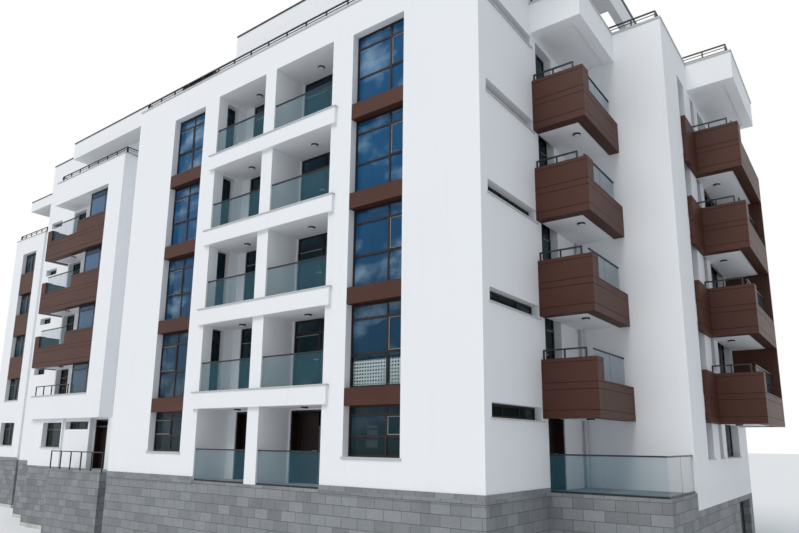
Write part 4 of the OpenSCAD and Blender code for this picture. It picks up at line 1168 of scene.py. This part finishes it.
class BLOCK_OT_shutter(bpy.types.Operator):
    """Builds the garage's roller shutter from slats between two guides"""

    bl_idname = "block.shutter"
    bl_label = "Garage shutter"

    def execute(self, context):
        low, high = solids("garage_shutter")[0]
        guide, proud = 0.035, 0.004
        count = round((high.z - low.z) / context.scene.block_fittings.slat)
        pitch = (high.z - low.z) / count
        foot = Vector((low.x, low.y + guide / 2, low.z))
        slat = rounded(cuboid(foot, (high.x, high.y - guide / 2, low.z + pitch)), 0.009, 3)
        slats = [slat, *(copied(slat, (0, 0, i * pitch)) for i in range(1, count))]
        for side in (low.y, high.y - guide):
            start = (low.x - proud, side, low.z)
            slats.append(rounded(cuboid(start, (high.x + 2 * proud, side + guide, high.z)), 0.002))
        shutter = joined("garage_shutter_slats", slats)
        dress(shutter, finish_named("dark_metal"), replaced=("garage_shutter",))
        return {"FINISHED"}


class BLOCK_OT_roof_unit(bpy.types.Operator):
    """Builds the roof's dark unit from posts, louvres and a lid"""

    bl_idname = "block.roof_unit"
    bl_label = "Roof unit"

    def execute(self, context):
        low, high = solids("roof_unit")[0]
        post, lid, pitch = 0.035, 0.03, 0.05
        top = high.z - lid
        inner = Vector((post, post, 0))
        pieces = [cuboid(low + inner, Vector((high.x, high.y, top)) - inner)]
        pieces.append(rounded(cuboid((low.x, low.y, top), high), 0.004, 2))
        for x in (low.x, high.x - post):
            for y in (low.y, high.y - post):
                pieces.append(rounded(cuboid((x, y, low.z), (x + post, y + post, top)), 0.003))
        setback = Vector((post / 4, post / 4, 0))
        louvre = cuboid(low + setback, Vector((high.x, high.y, low.z + pitch * 0.6)) - setback)
        pick_faces(louvre, lambda face: face.normal.z > 0.9)
        size = high - low
        bpy.ops.transform.resize(value=(1 - post / size.x, 1 - post / size.y, 1.0))
        bpy.ops.object.mode_set(mode="OBJECT")
        count = int((top - low.z - 0.02) / pitch)
        pieces += [copied(louvre, (0, 0, i * pitch)) for i in range(1, count)] + [louvre]
        unit = joined("roof_unit_louvres", pieces)
        dress(unit, finish_named("dark_metal"), replaced=("roof_unit",))
        return {"FINISHED"}


class BLOCK_OT_downpipe(bpy.types.Operator):
    """Runs the side balconies' downpipe down the corner at the wing, with its brackets"""

    bl_idname = "block.downpipe"
    bl_label = "Downpipe"

    def execute(self, context):
        radius = context.scene.block_fittings.pipe_radius
        bracket, half_arm = 0.018, 0.006
        low, high = solids("garden_terrace")[0]
        foot = Vector((low.x + 2 * radius, high.y - 2 * radius, GROUND))
        top = max(slab.z for slab, _ in solids("balcony_slabs"))
        pieces = [rod(foot, (foot.x, foot.y, top), radius, 24)]
        for storey in range(5):
            for share in (0.15, 0.6):
                spot = Vector((foot.x, foot.y, level(storey) + share * STOREY))
                pieces.append(rod(spot, spot + Vector((0, 0, bracket)), radius * 1.2, 24))
                reach = Vector((half_arm, 2 * radius, bracket))
                arm = cuboid(spot - Vector((half_arm, 0, 0)), spot + reach)
                pieces.append(rounded(arm, 0.001))
        pipe = joined("balcony_downpipe", pieces)
        choose(pipe)
        bpy.ops.object.shade_smooth_by_angle()
        dress(pipe, finish_named("pipe_paint"))
        return {"FINISHED"}


class BLOCK_OT_screens(bpy.types.Operator):
    """Sets white perforated screens behind the lower panes of the first floor's right window"""

    bl_idname = "block.screens"
    bl_label = "Window screens"

    def execute(self, context):
        corner, _ = screened_window()
        panes = windows("front_window_glass")
        window = min(panes, key=lambda other: (other.low - corner).length)
        back, front = -0.03, -0.026
        sheets = []
        for left, right in ((0.02, 0.65), (0.69, 0.98)):
            low, high = window.corners(window.cell(left, right, 0.03, 0.33), back, front)
            sheets.append(rounded(cuboid(low, high), 0.0008))
        dress(joined("window_screens", sheets), finish_named("white_screen"))
        return {"FINISHED"}


class BLOCK_PT_panel(bpy.types.Panel):
    """Lists the block's steps in the order in which they are run"""

    bl_idname = "BLOCK_PT_panel"
    bl_label = "Apartment block"
    bl_space_type = "VIEW_3D"
    bl_region_type = "UI"
    bl_category = "Apartment block"

    def draw(self, context):
        for group in ("block_finishes", "block_fittings", "block_stage"):
            box = self.layout.box()
            for name in getattr(context.scene, group).__annotations__:
                box.prop(getattr(context.scene, group), name)
        for step in STEPS:
            self.layout.operator(step.bl_idname)


def register():
    for kind in CLASSES:
        bpy.utils.register_class(kind)
    bpy.types.Scene.block_finishes = PointerProperty(type=BLOCK_PG_finishes)
    bpy.types.Scene.block_fittings = PointerProperty(type=BLOCK_PG_fittings)
    bpy.types.Scene.block_stage = PointerProperty(type=BLOCK_PG_stage)


def unregister():
    del bpy.types.Scene.block_stage
    del bpy.types.Scene.block_fittings
    del bpy.types.Scene.block_finishes
    for kind in reversed(CLASSES):
        bpy.utils.unregister_class(kind)


def main():
    register()
    bpy.ops.block.camera()
    bpy.ops.block.stage()
    bpy.ops.block.finishes()
    bpy.ops.block.cladding()
    bpy.ops.block.sashes()
    bpy.ops.block.handles()
    bpy.ops.block.railings()
    bpy.ops.block.shutter()
    bpy.ops.block.roof_unit()
    bpy.ops.block.downpipe()
    bpy.ops.block.screens()
    bpy.ops.block.lamps()


STEPS = (
    BLOCK_OT_camera,
    BLOCK_OT_stage,
    BLOCK_OT_finishes,
    BLOCK_OT_cladding,
    BLOCK_OT_sashes,
    BLOCK_OT_handles,
    BLOCK_OT_railings,
    BLOCK_OT_shutter,
    BLOCK_OT_roof_unit,
    BLOCK_OT_downpipe,
    BLOCK_OT_screens,
    BLOCK_OT_lamps,
)
CLASSES = (BLOCK_PG_finishes, BLOCK_PG_fittings, BLOCK_PG_stage, *STEPS, BLOCK_PT_panel)

if __name__ == "__main__":
    main()
